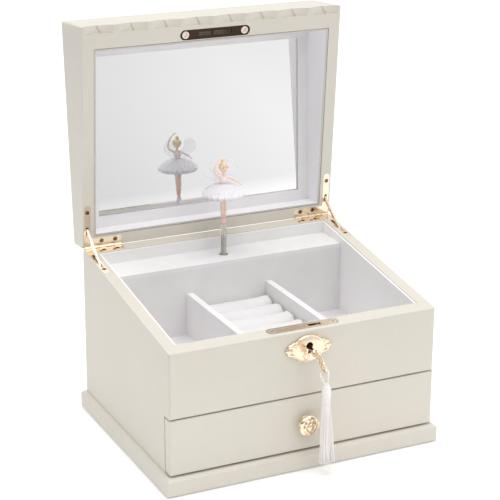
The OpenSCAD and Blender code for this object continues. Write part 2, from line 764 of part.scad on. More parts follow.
module strike_plate() color(gold) open_lid() rim_frame(plate_y) difference() {
  translate([0, 0, lid_gap]) linear_extrude(leaf_t) plate_outline();
  for (s = strike_slots) translate([s[0], -1.6, -5]) cube([s[1] - s[0], 3.2, 10]);
  for (x = [-plate_screw_x, plate_screw_x]) translate([x, 0, lid_gap])
    screw_hole(1, plate_head_r);
}

// Box let into the front panel, open at the top, with a stub that the claw turns on
module lock_case() color(steel) difference() {
  union() {
    difference() {
      translate([lock_x[0] + 0.1, lock_y[0] + 0.1, lock_z[0] + 0.1])
        cube([lock_x[1] - lock_x[0] - 0.2, lock_y[1] - lock_y[0] - 0.2,
              lock_z[1] - lock_z[0] - 0.1]);
      translate([lock_x[0] + lock_t, lock_y[0] + lock_t, lock_z[0] + lock_t])
        cube([lock_x[1] - lock_x[0] - 2 * lock_t, lock_y[1] - lock_y[0] - 2 * lock_t, 50]);
    }
    translate([bolt_x, lock_y[1] - 0.5, bolt_z]) rotate([90, 0, 0]) cylinder(r = 1.5, h = 4);
  }
  translate([bolt_x, lock_y[0] + 2, bolt_z + 1.2]) rotate([90, 0, 0]) cylinder(r = 5.2, h = 4);
}

// Claw on an arc about its own pivot, so it stays inside its slots as it turns
module lock_bolt() color(steel)
  translate([bolt_x, plate_y + 0.8, bolt_z]) rotate([90, 0, 0]) linear_extrude(1.6) {
    difference() {
      union() {
        circle(3.2);
        rotate(-84) translate([2, -1.6]) square([claw_r[0] - 1.2, 3.2]);
        intersection() {
          difference() {
            circle(claw_r[1], $fn = 96);
            circle(claw_r[0], $fn = 96);
          }
          polygon([[0, 0], [30 * cos(36), 30 * sin(36)], [40, 0],
                   [40 * cos(-45), 40 * sin(-45)], [30 * cos(-88), 30 * sin(-88)]]);
        }
      }
      circle(1.5 + run_gap);
    }
  }

// Cast plate: an oval middle with a fan of shell ribs at each side
module escutcheon() color(gold) difference() {
  translate([0.9, front_y, 92.8]) rotate([90, 0, 0]) union() {
    linear_extrude(2.2) polygon([for (a = [0:7.5:352.5]) [12.8 * cos(a), 10.2 * sin(a)]]);
    for (m = [0, 1]) mirror([m, 0, 0]) linear_extrude(1.6)
      polygon(concat([[4, -8.5]], [for (a = [-80:4:80])
        [8.4 + (8.6 + 0.7 * abs(cos(a * 4.5))) * cos(a), 7.6 * sin(a)]], [[4, 8.5]]));
  }
  translate([bolt_x, front_y + 1, 95.3]) rotate([90, 0, 0]) cylinder(r = 2.6, h = 5);
  translate([bolt_x - 0.9, front_y - 4, 90]) cube([1.8, 5, 5]);
}

module key() color(gold) key_frame() difference() {
  union() {
    translate([0, 0, -4.2]) cylinder(r = key_r, h = bow_at - bow_r[0] + 5.4);
    translate([0, 0, 9]) cylinder(r = 2.3, h = 1);
    translate([0, 0, 10.6]) cylinder(r = 2.3, h = 1);
    // Bit that turns the claw
    translate([-0.6, -4.2, -4.2]) cube([1.2, 3.5, 2.2]);
    // Pierced oval bow
    translate([-bow_t / 2, 0, bow_at]) rotate([0, 90, 0]) linear_extrude(bow_t)
      scale_oval(bow_r[0] - 0.6, bow_r[1]);
    for (a = [0:30:330])
      translate([-bow_t / 2, (bow_r[1] - 0.7) * cos(a), bow_at + (bow_r[0] - 0.9) * sin(a)])
        rotate([0, 90, 0]) cylinder(r = 1.2, h = bow_t, $fn = 20);
  }
  for (y = [-3.6, 3.6])
    translate([-5, y, bow_at]) rotate([0, 90, 0]) cylinder(r = 2.2, h = 10);
  translate([-5, -eye_at, bow_at]) rotate([0, 90, 0]) cylinder(r = 1.1, h = 10);
}

// Oval made of four arcs: half width rx along x, half height ry along y
module scale_oval(rx, ry) {
  translate([0, ry - rx]) circle(rx);
  translate([0, rx - ry]) circle(rx);
  strip(2 * rx, rx - ry, ry - rx);
}

// Place of the bow's eye in the row frame
eye = key_at + [
  eye_at * sin(key_turn),
  -bow_at * cos(key_droop) + eye_at * cos(key_turn) * sin(key_droop),
  -bow_at * sin(key_droop) - eye_at * cos(key_turn) * cos(key_droop)];
cord_d = 1.2;
tassel_top = eye[2] - 11.2;
tassel_x = eye[0] + 2.6;
tassel_r = 3.5;

// Route of the loop, measured from the bow's eye: up to the eye, through it on an arc whose middle
// is the loop's own pivot, and down the other side
cord_route = [
  [2.4, -0.6, -17.4], [2.2, -0.2, -14.6], [1.6, 0.4, -11.8], [0.8, 1, -9.2], [-0.1, 1.4, -6.9],
  [-0.8, 1.6, -5], [-1.5, 1.4, -4.3], [-1.9, 1.1, -3.3], [-1.9, 0.8, -2.3], [-1.6, 0.4, -1.3],
  [-0.9, 0.2, -0.5], [0, 0, 0], [1.1, -0.1, 0.2], [2.1, 0, 0.1], [3.1, 0.1, -0.4],
  [3.8, 0.4, -1.2], [4.2, 0.7, -2.1], [4.6, 1.2, -4.2], [4.7, 1.4, -6.4], [4.5, 1.4, -8.8],
  [4.1, 1.1, -11.4], [3.5, 0.8, -14.4], [2.9, 0.6, -17.4]];

// Ring of eight points round route point i, in the plane square to the route
function route_dir(p, i) =
  let (d = p[min(i + 1, len(p) - 1)] - p[max(i - 1, 0)]) d / norm(d);
function ring(p, i, r) =
  let (d = route_dir(p, i), u = [1, 0, 0] - d * d[0], a = u / norm(u), b = cross(d, a))
  [for (k = [0:7]) p[i] + r * (cos(k * 45) * a + sin(k * 45) * b)];

module tube(p, r) {
  n = len(p);
  points = [for (i = [0:n - 1]) each ring(p, i, r)];
  sides = [for (i = [0:n - 2], k = [0:7])
    [i * 8 + k, i * 8 + (k + 1) % 8, (i + 1) * 8 + (k + 1) % 8, (i + 1) * 8 + k]];
  polyhedron(points, concat([[for (k = [7:-1:0]) k]], sides, [[for (k = [0:7]) (n - 1) * 8 + k]]));
}

module tassel_cord() color("white") translate(eye) tube(cord_route, cord_d / 2);

// Silk head and skirt, flattened front to back, hollow at the top for the cord's ends
module tassel() color("white")
  translate([tassel_x, eye[1], 0]) difference() {
    union() {
      translate([0, 0, tassel_top - 16]) cylinder(r = tassel_r, h = 11);
      translate([0, 0, tassel_top - 5]) cylinder(r1 = tassel_r, r2 = 2.8, h = 3);
      intersection() {
        translate([1.2, 0, 11]) cylinder(r1 = 7, r2 = tassel_r, h = tassel_top - 27);
        translate([-12, -3.4, 0]) cube([26, 6.2, 80]);
      }
    }
    translate([0, 0, tassel_top - 8]) cylinder(r = 2.6, h = 9);
  }

// ================================================================ drawer
front_lip_z = 15;
box_x = inner_x - 1;
box_t = 6;
box_z = [13.9, 52];
box_back_y = 66;
bottom_z = [18, 21];

module drawer_front() color(ivory) difference() {
  rounded_box(-hw, hw, front_y, front_y + 9, front_lip_z, drawer_top, 1);
  along_x(-hw - 1, hw + 1)
    polygon([[front_y - 1, drawer_top + 1], [front_y + 0.7, drawer_top + 1],
             [front_y + 0.7, drawer_top], [front_y, drawer_top - 0.7],
             [front_y - 1, drawer_top - 0.7]]);
  translate([0, front_y - 1, 35]) rotate([-90, 0, 0]) cylinder(r = 2, h = 12);
}

module drawer_sides() color("burlywood") both_sides()
  translate([box_x - box_t, front_y + 9, box_z[0]]) difference() {
    cube([box_t, box_back_y - front_y - 9, box_z[1] - box_z[0]]);
    translate([-1, -1, bottom_z[0] - box_z[0]]) cube([4, 400, bottom_z[1] - bottom_z[0]]);
  }

module drawer_back() color("burlywood")
  translate([-(box_x - box_t), box_back_y - box_t, bottom_z[1]])
    cube([2 * (box_x - box_t), box_t, box_z[1] - bottom_z[1]]);

module drawer_bottom() color("burlywood")
  translate([-(box_x - box_t + 2.9), front_y + 9, bottom_z[0] + 0.05])
    cube([2 * (box_x - box_t + 2.9), box_back_y - front_y - 9.1, bottom_z[1] - bottom_z[0] - 0.1]);

// Thin lining: floor and four walls
module drawer_lining() color(suede) {
  x = box_x - box_t - 0.05;
  y0 = front_y + 9.05;
  y1 = box_back_y - box_t - 0.05;
  difference() {
    translate([-x, y0, bottom_z[1]]) cube([2 * x, y1 - y0, 30]);
    translate([-x + 1, y0 + 1, bottom_z[1] + 1]) cube([2 * x - 2, y1 - y0 - 2, 40]);
  }
}

// Flower-shaped knob on a short stem, with its screw through the drawer front
module drawer_knob() color(gold)
  translate([0, front_y, 35]) rotate([90, 0, 0]) union() {
    rotate_extrude() polygon([
      [0, -9], [2, -9], [2, 0], [5.6, 0], [5.4, 0.8], [3.4, 1.4], [3, 2.8], [6, 4.2],
      [6, 7.2], [4.6, 9], [2.6, 10], [0, 10]]);
    translate([0, 0, 4.5]) linear_extrude(2.4) polygon([for (a = [0:5:355])
      (knob_d / 2 - 1.3 * pow(sin(a * 3), 2)) * [cos(a), sin(a)]]);
  }

base_felt();
plinth_board();
case_left();
case_right();
case_back();
case_front();
tray_board();
floor_pad();
lining_front();
lining_sides();
lining_back();
music_shelf();
music_screen();
dividers();
ring_cushion();
movement_bedplate();
movement_screws();
spring_barrel();
winding_arbor();
winding_key();
music_cylinder();
tone_comb();
governor_frame();
governor_wheel();
governor_fly();
spindle_spring();
clear_socket();
ballerina_figure();
ballerina_hair();
tutu();
wings();
lid_top();
lid_front();
lid_back();
lid_left();
lid_right();
lid_lining();
mirror_mat();
mirror_glass();
strike_plate();
case_leaves();
lid_leaves();
left_stay();
right_stay();
hinge_pins();
case_screws();
lid_screws();
lock_plate();
lock_case();
lock_bolt();
escutcheon();
key();
tassel_cord();
tassel();
drawer_front();
drawer_sides();
drawer_back();
drawer_bottom();
drawer_lining();
drawer_knob();
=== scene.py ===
"""Looks for the ballerina jewellery box: an ivory painted case with a mirrored wedge lid, a lined tray,
a dancing doll on a spring, a lock with its tasselled key, and a drawer. All lengths below are in
millimetres unless said otherwise; pieces are scaled to metres when they are made."""

import json
import math
import random

import bpy
import numpy as np
from mathutils import Matrix, Vector, noise


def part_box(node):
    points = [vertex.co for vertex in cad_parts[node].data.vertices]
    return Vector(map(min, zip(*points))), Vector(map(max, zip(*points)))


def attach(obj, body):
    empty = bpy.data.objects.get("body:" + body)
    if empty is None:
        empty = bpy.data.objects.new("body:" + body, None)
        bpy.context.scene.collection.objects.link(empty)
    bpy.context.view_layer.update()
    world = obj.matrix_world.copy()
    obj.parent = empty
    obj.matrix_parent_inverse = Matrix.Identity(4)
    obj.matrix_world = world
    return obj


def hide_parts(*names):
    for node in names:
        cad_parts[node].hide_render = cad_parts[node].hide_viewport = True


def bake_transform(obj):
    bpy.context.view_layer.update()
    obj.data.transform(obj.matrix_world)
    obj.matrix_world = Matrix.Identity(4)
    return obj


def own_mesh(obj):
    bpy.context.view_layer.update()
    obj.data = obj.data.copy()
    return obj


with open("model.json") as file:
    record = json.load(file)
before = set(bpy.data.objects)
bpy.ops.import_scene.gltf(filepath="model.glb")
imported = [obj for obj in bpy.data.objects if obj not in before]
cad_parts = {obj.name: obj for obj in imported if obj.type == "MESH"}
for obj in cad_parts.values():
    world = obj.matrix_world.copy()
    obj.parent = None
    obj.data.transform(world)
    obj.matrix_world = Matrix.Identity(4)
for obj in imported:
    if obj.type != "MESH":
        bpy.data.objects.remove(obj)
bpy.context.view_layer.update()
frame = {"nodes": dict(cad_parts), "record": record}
nodes = frame["nodes"]
MM = 0.001
TAU = 2 * math.pi

# The case's front and back faces, and the hinge axis at the top of its back
FRONT_Y, BACK_Y, HINGE_Z = -82.0, 82.0, 129.6
RIM_SLOPE, LID_OPEN = math.radians(8.35), math.radians(94.4)

# ---------------------------------------------------------------- materials


def srgb(r, g, b):
    """A colour given as 0 to 255 sRGB, as linear RGBA."""
    def one(c):
        c /= 255
        return c / 12.92 if c <= 0.04045 else ((c + 0.055) / 1.055) ** 2.4
    return (one(r), one(g), one(b), 1.0)


class Mat:
    """A Principled material with short ways to add noise, colour variation and bump."""

    def __init__(self, name, **sockets):
        self.m = bpy.data.materials.new(name)
        self.m.use_nodes = True
        self.t = self.m.node_tree
        self.p = self.t.nodes["Principled BSDF"]
        for key, value in sockets.items():
            self.p.inputs[key.replace("_", " ")].default_value = value
        self.coord = self.t.nodes.new("ShaderNodeTexCoord").outputs["Object"]
        self.normal = None

    def node(self, kind, **values):
        n = self.t.nodes.new(kind)
        for key, value in values.items():
            if hasattr(n, key):
                setattr(n, key, value)
            else:
                n.inputs[key.replace("_", " ")].default_value = value
        return n

    def link(self, a, b):
        self.t.links.new(a, b)

    def mapped(self, stretch):
        m = self.node("ShaderNodeMapping")
        m.inputs["Scale"].default_value = stretch
        self.link(self.coord, m.inputs["Vector"])
        return m.outputs["Vector"]

    def noise(self, scale, detail=3.0, rough=0.5, stretch=(1, 1, 1)):
        n = self.node("ShaderNodeTexNoise", Scale=scale, Detail=detail, Roughness=rough)
        self.link(self.mapped(stretch), n.inputs["Vector"])
        return n.outputs["Fac"]

    def ramp(self, fac, stops):
        n = self.node("ShaderNodeValToRGB")
        ramp = n.color_ramp
        while len(ramp.elements) < len(stops):
            ramp.elements.new(0.5)
        for element, (at, colour) in zip(ramp.elements, stops):
            element.position = at
            element.color = colour
        self.link(fac, n.inputs["Fac"])
        return n.outputs["Color"]

    def mix(self, fac, a, b):
        n = self.node("ShaderNodeMix")
        n.data_type = "RGBA"
        for socket, value in ((n.inputs[6], a), (n.inputs[7], b)):
            if isinstance(value, tuple):
                socket.default_value = value
            else:
                self.link(value, socket)
        if isinstance(fac, float):
            n.inputs[0].default_value = fac
        else:
            self.link(fac, n.inputs[0])
        return n.outputs[2]

    def value_range(self, fac, low, high):
        n = self.node("ShaderNodeMapRange")
        n.inputs["To Min"].default_value = low
        n.inputs["To Max"].default_value = high
        self.link(fac, n.inputs["Value"])
        return n.outputs["Result"]

    def base(self, socket):
        self.link(socket, self.p.inputs["Base Color"])
        return self

    def rough(self, fac, low, high):
        self.link(self.value_range(fac, low, high), self.p.inputs["Roughness"])
        return self

    def bump(self, fac, distance, strength=1.0):
        n = self.node("ShaderNodeBump", Strength=strength, Distance=distance)
        self.link(fac, n.inputs["Height"])
        if self.normal is not None:
            self.link(self.normal, n.inputs["Normal"])
        self.normal = n.outputs["Normal"]
        self.link(self.normal, self.p.inputs["Normal"])
        return self

    def rounded(self, radius):
        n = self.node("ShaderNodeBevel", Radius=radius)
        n.samples = 4
        self.normal = n.outputs["Normal"]
        self.link(self.normal, self.p.inputs["Normal"])
        return self


def paint_material():
    """Ivory paint, rolled on, with a few faint specks and softened edges."""
    m = Mat("ivory_paint", Roughness=0.42, Coat_Weight=0.12, Coat_Roughness=0.25)
    m.rounded(0.00035)
    tone = m.ramp(m.noise(14, 4, 0.55), [(0.3, srgb(214, 209, 197)), (0.7, srgb(218, 212, 200))])
    specks = m.ramp(m.noise(420, 2, 0.5), [(0.70, (0, 0, 0, 1)), (0.78, (1, 1, 1, 1))])
    m.base(m.mix(specks, tone, srgb(207, 201, 188)))
    m.rough(m.noise(60, 5, 0.6), 0.36, 0.50)
    return m.bump(m.noise(900, 3, 0.5), 0.00003, 0.5).bump(m.noise(55, 2, 0.5), 0.00012, 0.35).m


def wood_material():
    """Bare pale wood with its grain along Y."""
    m = Mat("bare_wood", Roughness=0.6)
    m.rounded(0.0004)
    rings = m.noise(26, 6, 0.6, (1, 0.06, 1))
    pores = m.noise(700, 2, 0.5, (1, 0.04, 1))
    m.base(m.mix(m.ramp(pores, [(0.55, (0, 0, 0, 1)), (0.7, (0.5, 0.5, 0.5, 1))]),
                 m.ramp(rings, [(0.3, srgb(203, 176, 138)), (0.5, srgb(218, 194, 156)),
                                (0.7, srgb(190, 160, 122))]), srgb(150, 118, 84)))
    return m.bump(pores, 0.00006, 0.6).m


def suede_material(name, light, dark, sheen=0.25, edge=None):
    """Napped cloth. edge is a plane, as a normal and a distance, near which the cloth is painted
    darker, as painted shade.
    """
    m = Mat(name, Roughness=0.92, Sheen_Weight=sheen, Sheen_Roughness=0.5)
    nap = m.noise(45, 5, 0.6)
    fibre = m.noise(2600, 3, 0.6)
    colour = m.mix(m.ramp(fibre, [(0.35, (0, 0, 0, 1)), (0.75, (0.35, 0.35, 0.35, 1))]),
                   m.ramp(nap, [(0.3, dark), (0.7, light)]), dark)
    if edge:
        normal, distance = edge
        along = m.node("ShaderNodeVectorMath", operation="DOT_PRODUCT")
        along.inputs[1].default_value = normal
        m.link(m.coord, along.inputs[0])
        depth = m.node("ShaderNodeMapRange", From_Min=distance + 0.0004, From_Max=distance + 0.0008)
        m.link(along.outputs["Value"], depth.inputs["Value"])
        # Painted shade: a darker band of cloth along the edge plane
        colour = m.mix(depth.outputs["Result"], srgb(206, 200, 196), colour)
    m.base(colour)
    return m.bump(fibre, 0.00012, 0.7).bump(m.noise(160, 3, 0.5), 0.00012, 0.35).m


def gold_material(name, colour, low=0.14, high=0.28, worn=0.86):
    m = Mat(name, Metallic=1.0)
    m.rounded(0.0002)
    dull = tuple(c * worn for c in colour[:3]) + (1.0,)
    m.base(m.ramp(m.noise(220, 4, 0.6), [(0.35, dull), (0.6, colour)]))
    m.rough(m.noise(500, 4, 0.6), low, high)
    return m.bump(m.noise(1800, 2, 0.5, (1, 0.15, 1)), 0.00001, 0.3).m


def screw_material():
    """Pale gold near the middle of the box, dark bronze-coloured on the hinges at its sides."""
    m = Mat("screw_gold", Metallic=1.0)
    place = m.node("ShaderNodeSeparateXYZ")
    m.link(m.coord, place.inputs[0])
    away = m.node("ShaderNodeMath", operation="ABSOLUTE")
    m.link(place.outputs["X"], away.inputs[0])
    side = m.node("ShaderNodeMapRange", From_Min=0.045, From_Max=0.065)
    m.link(away.outputs[0], side.inputs["Value"])
    pale = m.ramp(m.noise(300, 3, 0.5), [(0.3, srgb(226, 214, 196)), (0.7, srgb(240, 230, 214))])
    bronze = m.ramp(m.noise(300, 3, 0.5), [(0.3, srgb(120, 88, 62)), (0.7, srgb(160, 126, 94))])
    m.base(m.mix(side.outputs["Result"], pale, bronze))
    return m.rough(m.noise(500, 4, 0.6), 0.16, 0.3).m


def steel_material(name, colour, low=0.25, high=0.42, across=(1, 0.08, 1)):
    m = Mat(name, Metallic=1.0)
    m.base(m.ramp(m.noise(240, 3, 0.5), [(0.3, tuple(c * 0.85 for c in colour[:3]) + (1.0,)),
                                         (0.7, colour)]))
    m.rough(m.noise(900, 3, 0.5, across), low, high)
    return m.bump(m.noise(2400, 2, 0.5, across), 0.00001, 0.5).m


def mirror_material():
    """Silvered glass, painted a little darker towards its lower left corner, as a painted reflection of
    the studio.
    """
    m = Mat("silvered_mirror", Metallic=1.0, Roughness=0.015)
    place = m.node("ShaderNodeTexCoord").outputs["Generated"]
    turned = m.node("ShaderNodeMapping")
    turned.inputs["Rotation"].default_value = (0, math.radians(35), 0)
    m.link(place, turned.inputs["Vector"])
    painted_reflection_fall = m.node("ShaderNodeTexGradient").outputs["Fac"]
    m.link(turned.outputs["Vector"], painted_reflection_fall.node.inputs["Vector"])
    haze = m.mix(m.noise(9, 3, 0.5), srgb(250, 250, 251), srgb(254, 254, 255))
    # Painted reflection: the glass's colour falls from near white to grey across it
    return m.base(m.mix(painted_reflection_fall, srgb(216, 216, 217), haze)).m


def net_material(name, tint, scale, low, high):
    """Net: threads round the cells of a fine pattern, and mostly air between them."""
    m = Mat(name, Roughness=0.7, Sheen_Weight=0.6)
    cells = m.node("ShaderNodeTexVoronoi", Scale=scale)
    cells.feature = "DISTANCE_TO_EDGE"
    m.link(m.coord, cells.inputs["Vector"])
    threads = m.ramp(cells.outputs["Distance"], [(0.06, (1, 1, 1, 1)), (0.16, (0, 0, 0, 1))])
    m.base(m.mix(m.noise(300, 2, 0.5), tint, srgb(255, 255, 255)))
    m.link(m.value_range(threads, low, high), m.p.inputs["Alpha"])
    return m.bump(threads, 0.00005, 0.6).m


def silk_material():
    """Fine threads that run down the piece."""
    m = Mat("silk", Roughness=0.38, Sheen_Weight=0.4, Sheen_Roughness=0.3)
    m.base(m.ramp(m.noise(900, 3, 0.5, (1, 1, 0.06)),
                  [(0.3, srgb(246, 240, 236)), (0.7, srgb(253, 249, 246))]))
    return m.bump(m.noise(5000, 2, 0.5, (1, 1, 0.05)), 0.00003, 0.4).m


def doll_material(name, light, dark, rough=0.4, grain=(1, 1, 1), scale=300):
    m = Mat(name, Roughness=rough, Coat_Weight=0.25, Coat_Roughness=0.3)
    m.base(m.ramp(m.noise(scale, 3, 0.5, grain), [(0.35, dark), (0.65, light)]))
    return m.bump(m.noise(scale * 5, 2, 0.5, grain), 0.00003, 0.5).m


def clear_material():
    """Clear moulded plastic, faintly uneven."""
    m = Mat("clear_plastic", Roughness=0.04, IOR=1.25, Transmission_Weight=1.0)
    m.base(m.ramp(m.noise(300, 2, 0.5), [(0.3, srgb(238, 240, 242)), (0.7, srgb(250, 251, 252))]))
    return m.bump(m.noise(500, 2, 0.5), 0.00002, 0.4).m


PAINT = paint_material()
WOOD = wood_material()
SUEDE = suede_material("suede_lining", srgb(238, 236, 236), srgb(232, 230, 230))
# The open lid's rim is a plane through the hinge axis, and its cloth starts 0.8 mm inside; along that
# plane the cloth gets a painted shade line
RIM_TURN = LID_OPEN - RIM_SLOPE
RIM_NORMAL = Vector((0, math.sin(RIM_TURN), math.cos(RIM_TURN)))
LID_RIM_SHADE_PLANE = (RIM_NORMAL, RIM_NORMAL.dot(Vector((0, BACK_Y, HINGE_Z)) * MM) + 0.8 * MM)
# Painted light: the lid's cloth is a lighter copy of the suede lining, with painted shade along its rim
LID_CLOTH_PAINTED_LIGHT_AND_SHADE = suede_material("lid_cloth_painted_light_and_shade", srgb(251, 250, 252), srgb(247, 246, 248), edge=LID_RIM_SHADE_PLANE)
# Painted shade: the rolls are a darker copy of the suede lining
CUSHION_PAINTED_SHADE = suede_material("suede_rolls_painted_shade", srgb(228, 226, 226), srgb(221, 219, 219), 0.3)
# Painted shade: the tray's floor pad is a darker copy of the suede lining
PAD_CLOTH_PAINTED_SHADE = suede_material("suede_pad_painted_shade", srgb(225, 223, 224), srgb(218, 216, 217), 0.2)
# Painted light: the side linings are a lighter copy of the suede lining, with more sheen
WALL_CLOTH_PAINTED_LIGHT = suede_material("suede_walls_painted_light", srgb(252, 250, 250), srgb(248, 246, 246), 0.4)
GREY = suede_material("grey_cloth", srgb(232, 230, 230), srgb(226, 224, 224), 0.1)
FELT = suede_material("felt", srgb(150, 148, 144), srgb(132, 130, 126), 0.5)
GOLD = gold_material("rose_gold", srgb(250, 231, 205), 0.10, 0.2, 0.9)
# Painted reflection: the strike plate is dark brown gold for the dark studio that it reflects
DARK_REFLECTION_GOLD = gold_material("strike_gold_painted_reflection", srgb(74, 58, 48), 0.12, 0.24)
RIM_GOLD = gold_material("lock_gold", srgb(226, 209, 184), 0.16, 0.24, 0.95)
SCREW = screw_material()
BRASS = gold_material("movement_brass", srgb(214, 184, 120), 0.25, 0.4)
STEEL = steel_material("movement_steel", srgb(190, 190, 188))
WIRE = steel_material("spring_wire", srgb(206, 203, 195), 0.3, 0.45, (1, 1, 1))
MIRROR = mirror_material()
NET = net_material("white_net", srgb(248, 246, 252), 1500, 0.45, 0.9)
ORGANZA = net_material("organza", srgb(244, 246, 252), 2600, 0.12, 0.4)
SILK = silk_material()
SKIN = doll_material("doll_skin", srgb(254, 230, 212), srgb(251, 222, 202))
SATIN = doll_material("doll_bodice", srgb(252, 238, 238), srgb(248, 228, 230), 0.3, (1, 1, 0.2), 900)
SHOES = doll_material("doll_shoes", srgb(250, 214, 206), srgb(244, 202, 194), 0.3)
HAIR = doll_material("doll_hair", srgb(250, 236, 198), srgb(230, 206, 152), 0.45, (1, 1, 0.15), 1600)
INK = doll_material("doll_ink", srgb(92, 66, 56), srgb(70, 50, 44), 0.4)
ROUGE = doll_material("doll_lips", srgb(222, 120, 112), srgb(206, 104, 100), 0.4)
CLEAR = clear_material()

OF_SLOT = {
    "painted_wood": PAINT, "plain_wood": WOOD, "suede": SUEDE, "grey_board": GREY, "felt": FELT,
    "gold_fittings": GOLD, "movement_brass": BRASS, "movement_steel": STEEL, "spring_wire": WIRE,
    "clear_plastic": CLEAR, "doll_plastic": SKIN, "doll_hair": HAIR, "net": NET, "mirror": MIRROR,
    "silk": SILK}
SPECIAL = {"strike_plate": DARK_REFLECTION_GOLD, "lock_plate": RIM_GOLD, "lid_lining": LID_CLOTH_PAINTED_LIGHT_AND_SHADE,
           "floor_pad": PAD_CLOTH_PAINTED_SHADE, "lining_sides": WALL_CLOTH_PAINTED_LIGHT, "case_screws": SCREW,
           "lid_screws": SCREW}
for part in frame["record"]["subparts"]:
    piece = nodes[part["node"]]
    piece.data.materials.clear()
    piece.data.materials.append(SPECIAL.get(part["node"], OF_SLOT[part["material_slot"]]))


# ---------------------------------------------------------------- mesh making


class Shape:
    """Vertices in millimetres and faces, gathered from several parts."""

    def __init__(self):
        self.v, self.f = [], []

    def add(self, verts, faces):
        n = len(self.v)
        self.v += [tuple(p) for p in verts]
        self.f += [tuple(i + n for i in f) for f in faces]
        return self

    def moved(self, matrix):
        self.v = [tuple(matrix @ Vector(p)) for p in self.v]
        return self

    def piece(self, name, material, body=None, slot=None, stands_for=()):
        mesh = bpy.data.meshes.new(name)
        mesh.from_pydata([[c * MM for c in p] for p in self.v], [], self.f)
        mesh.validate()
        mesh.polygons.foreach_set("use_smooth", [True] * len(mesh.polygons))
        mesh.materials.append(material)
        o = bpy.data.objects.new(name, mesh)
        bpy.context.scene.collection.objects.link(o)
        if body:
            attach(o, body)
        if stands_for:
            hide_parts(*stands_for)
        return o


def sheet_faces(rows, wrap=False):
    """Quads between rows of points; wrap joins the last column to the first."""
    n = len(rows[0])
    last = n if wrap else n - 1
    return [(i * n + j, i * n + (j + 1) % n, (i + 1) * n + (j + 1) % n, (i + 1) * n + j)
            for i in range(len(rows) - 1) for j in range(last)]


def skin_rings(rows):
    """A closed skin over rings of points, with a fan at each end."""
    n, m = len(rows[0]), len(rows)
    verts = [p for row in rows for p in row]
    faces = [tuple(reversed(f)) for f in sheet_faces(rows, True)]
    for ring, flip in ((0, False), (m - 1, True)):
        verts.append(tuple(sum(c) / n for c in zip(*rows[ring])))
        centre = len(verts) - 1
        for j in range(n):
            a, b = ring * n + j, ring * n + (j + 1) % n
            faces.append((centre, b, a) if flip else (centre, a, b))
    return verts, faces


def frames(path, closed=False):
    """Turn-free frames along a path: (point, side, side) for each point."""
    p = [Vector(q) for q in path]
    n = len(p)
    found, side = [], None
    for i in range(n):
        ahead = p[(i + 1) % n] if closed else p[min(i + 1, n - 1)]
        behind = p[i - 1] if closed else p[max(i - 1, 0)]
        t = (ahead - behind).normalized()
        if side is None:
            side = t.orthogonal().normalized()
        side = (side - t * side.dot(t)).normalized()
        found.append((p[i], side, t.cross(side)))
    return found


def tube(path, radius, sides=10, lobes=0, depth=0.0, turns=0.0, closed=False):
    """A tube along a path. radius is a number or one per point; lobes and turns make it a twist."""
    made = frames(path, closed)
    n = len(made)
    rows = []
    for i, (p, a, b) in enumerate(made):
        r = radius if isinstance(radius, (int, float)) else radius[i]
        ring = []
        for k in range(sides):
            w = TAU * k / sides
            rr = r * (1 + depth * math.cos(lobes * (w - TAU * turns * i / n)))
            ring.append(tuple(p + a * (rr * math.cos(w)) + b * (rr * math.sin(w))))
        rows.append(ring)
    if not closed:
        return skin_rings(rows)
    verts = [q for row in rows for q in row]
    faces = [(i * sides + k, ((i + 1) % n) * sides + k, ((i + 1) % n) * sides + (k + 1) % sides,
              i * sides + (k + 1) % sides) for i in range(n) for k in range(sides)]
    return verts, faces


def smooth_path(points, steps=8):
    """Catmull-Rom curve through the points; extra columns, such as a radius, are carried along."""
    p = [np.array(q, float) for q in points]
    p = [2 * p[0] - p[1]] + p + [2 * p[-1] - p[-2]]
    out = []
    for i in range(1, len(p) - 2):
        for k in range(steps):
            t = k / steps
            out.append(0.5 * (2 * p[i] + (p[i + 1] - p[i - 1]) * t
                              + (2 * p[i - 1] - 5 * p[i] + 4 * p[i + 1] - p[i + 2]) * t * t
                              + (3 * p[i] - p[i - 1] - 3 * p[i + 1] + p[i + 2]) * t ** 3))
    out.append(p[-2])
    return [tuple(q) for q in out]


def limb(points, sides=16, steps=8):
    """A smooth limb through (x, y, z, radius) points."""
    path = smooth_path(points, steps)
    return tube([q[:3] for q in path], [max(q[3], 0.05) for q in path], sides)


def lathe(profile, sides=48, centre=(0, 0, 0), wave=None):
    """Rings about the Z axis from (radius, z) points; wave(angle, step) scales the radius."""
    cx, cy, cz = centre
    rows = []
    for i, (r, z) in enumerate(profile):
        ring = []
        for k in range(sides):
            w = TAU * k / sides
            rr = r * (wave(w, i) if wave else 1)
            ring.append((cx + rr * math.cos(w), cy + rr * math.sin(w), cz + z))
        rows.append(ring)
    return skin_rings([list(reversed(r)) for r in rows])


def ball(centre, radii, n=16, m=24):
    """An ellipsoid."""
    rows = []
    for i in range(1, n):
        a = math.pi * i / n
        rows.append([(centre[0] + radii[0] * math.sin(a) * math.cos(TAU * k / m),
                      centre[1] - radii[1] * math.sin(a) * math.sin(TAU * k / m),
                      centre[2] - radii[2] * math.cos(a)) for k in range(m)])
    return skin_rings(rows)


def applied(o):
    """Replaces the mesh by what its modifiers make of it."""
    dg = bpy.context.evaluated_depsgraph_get()
    mesh = bpy.data.meshes.new_from_object(o.evaluated_get(dg))
    o.modifiers.clear()
    o.data = mesh
    return o


def cut(o, tool):
    """Takes the tool's solid out of o."""
    m = o.modifiers.new("cut", "BOOLEAN")
    m.object, m.operation, m.solver = tool, "DIFFERENCE", "EXACT"
    applied(o)
    bpy.data.objects.remove(tool)
    return o


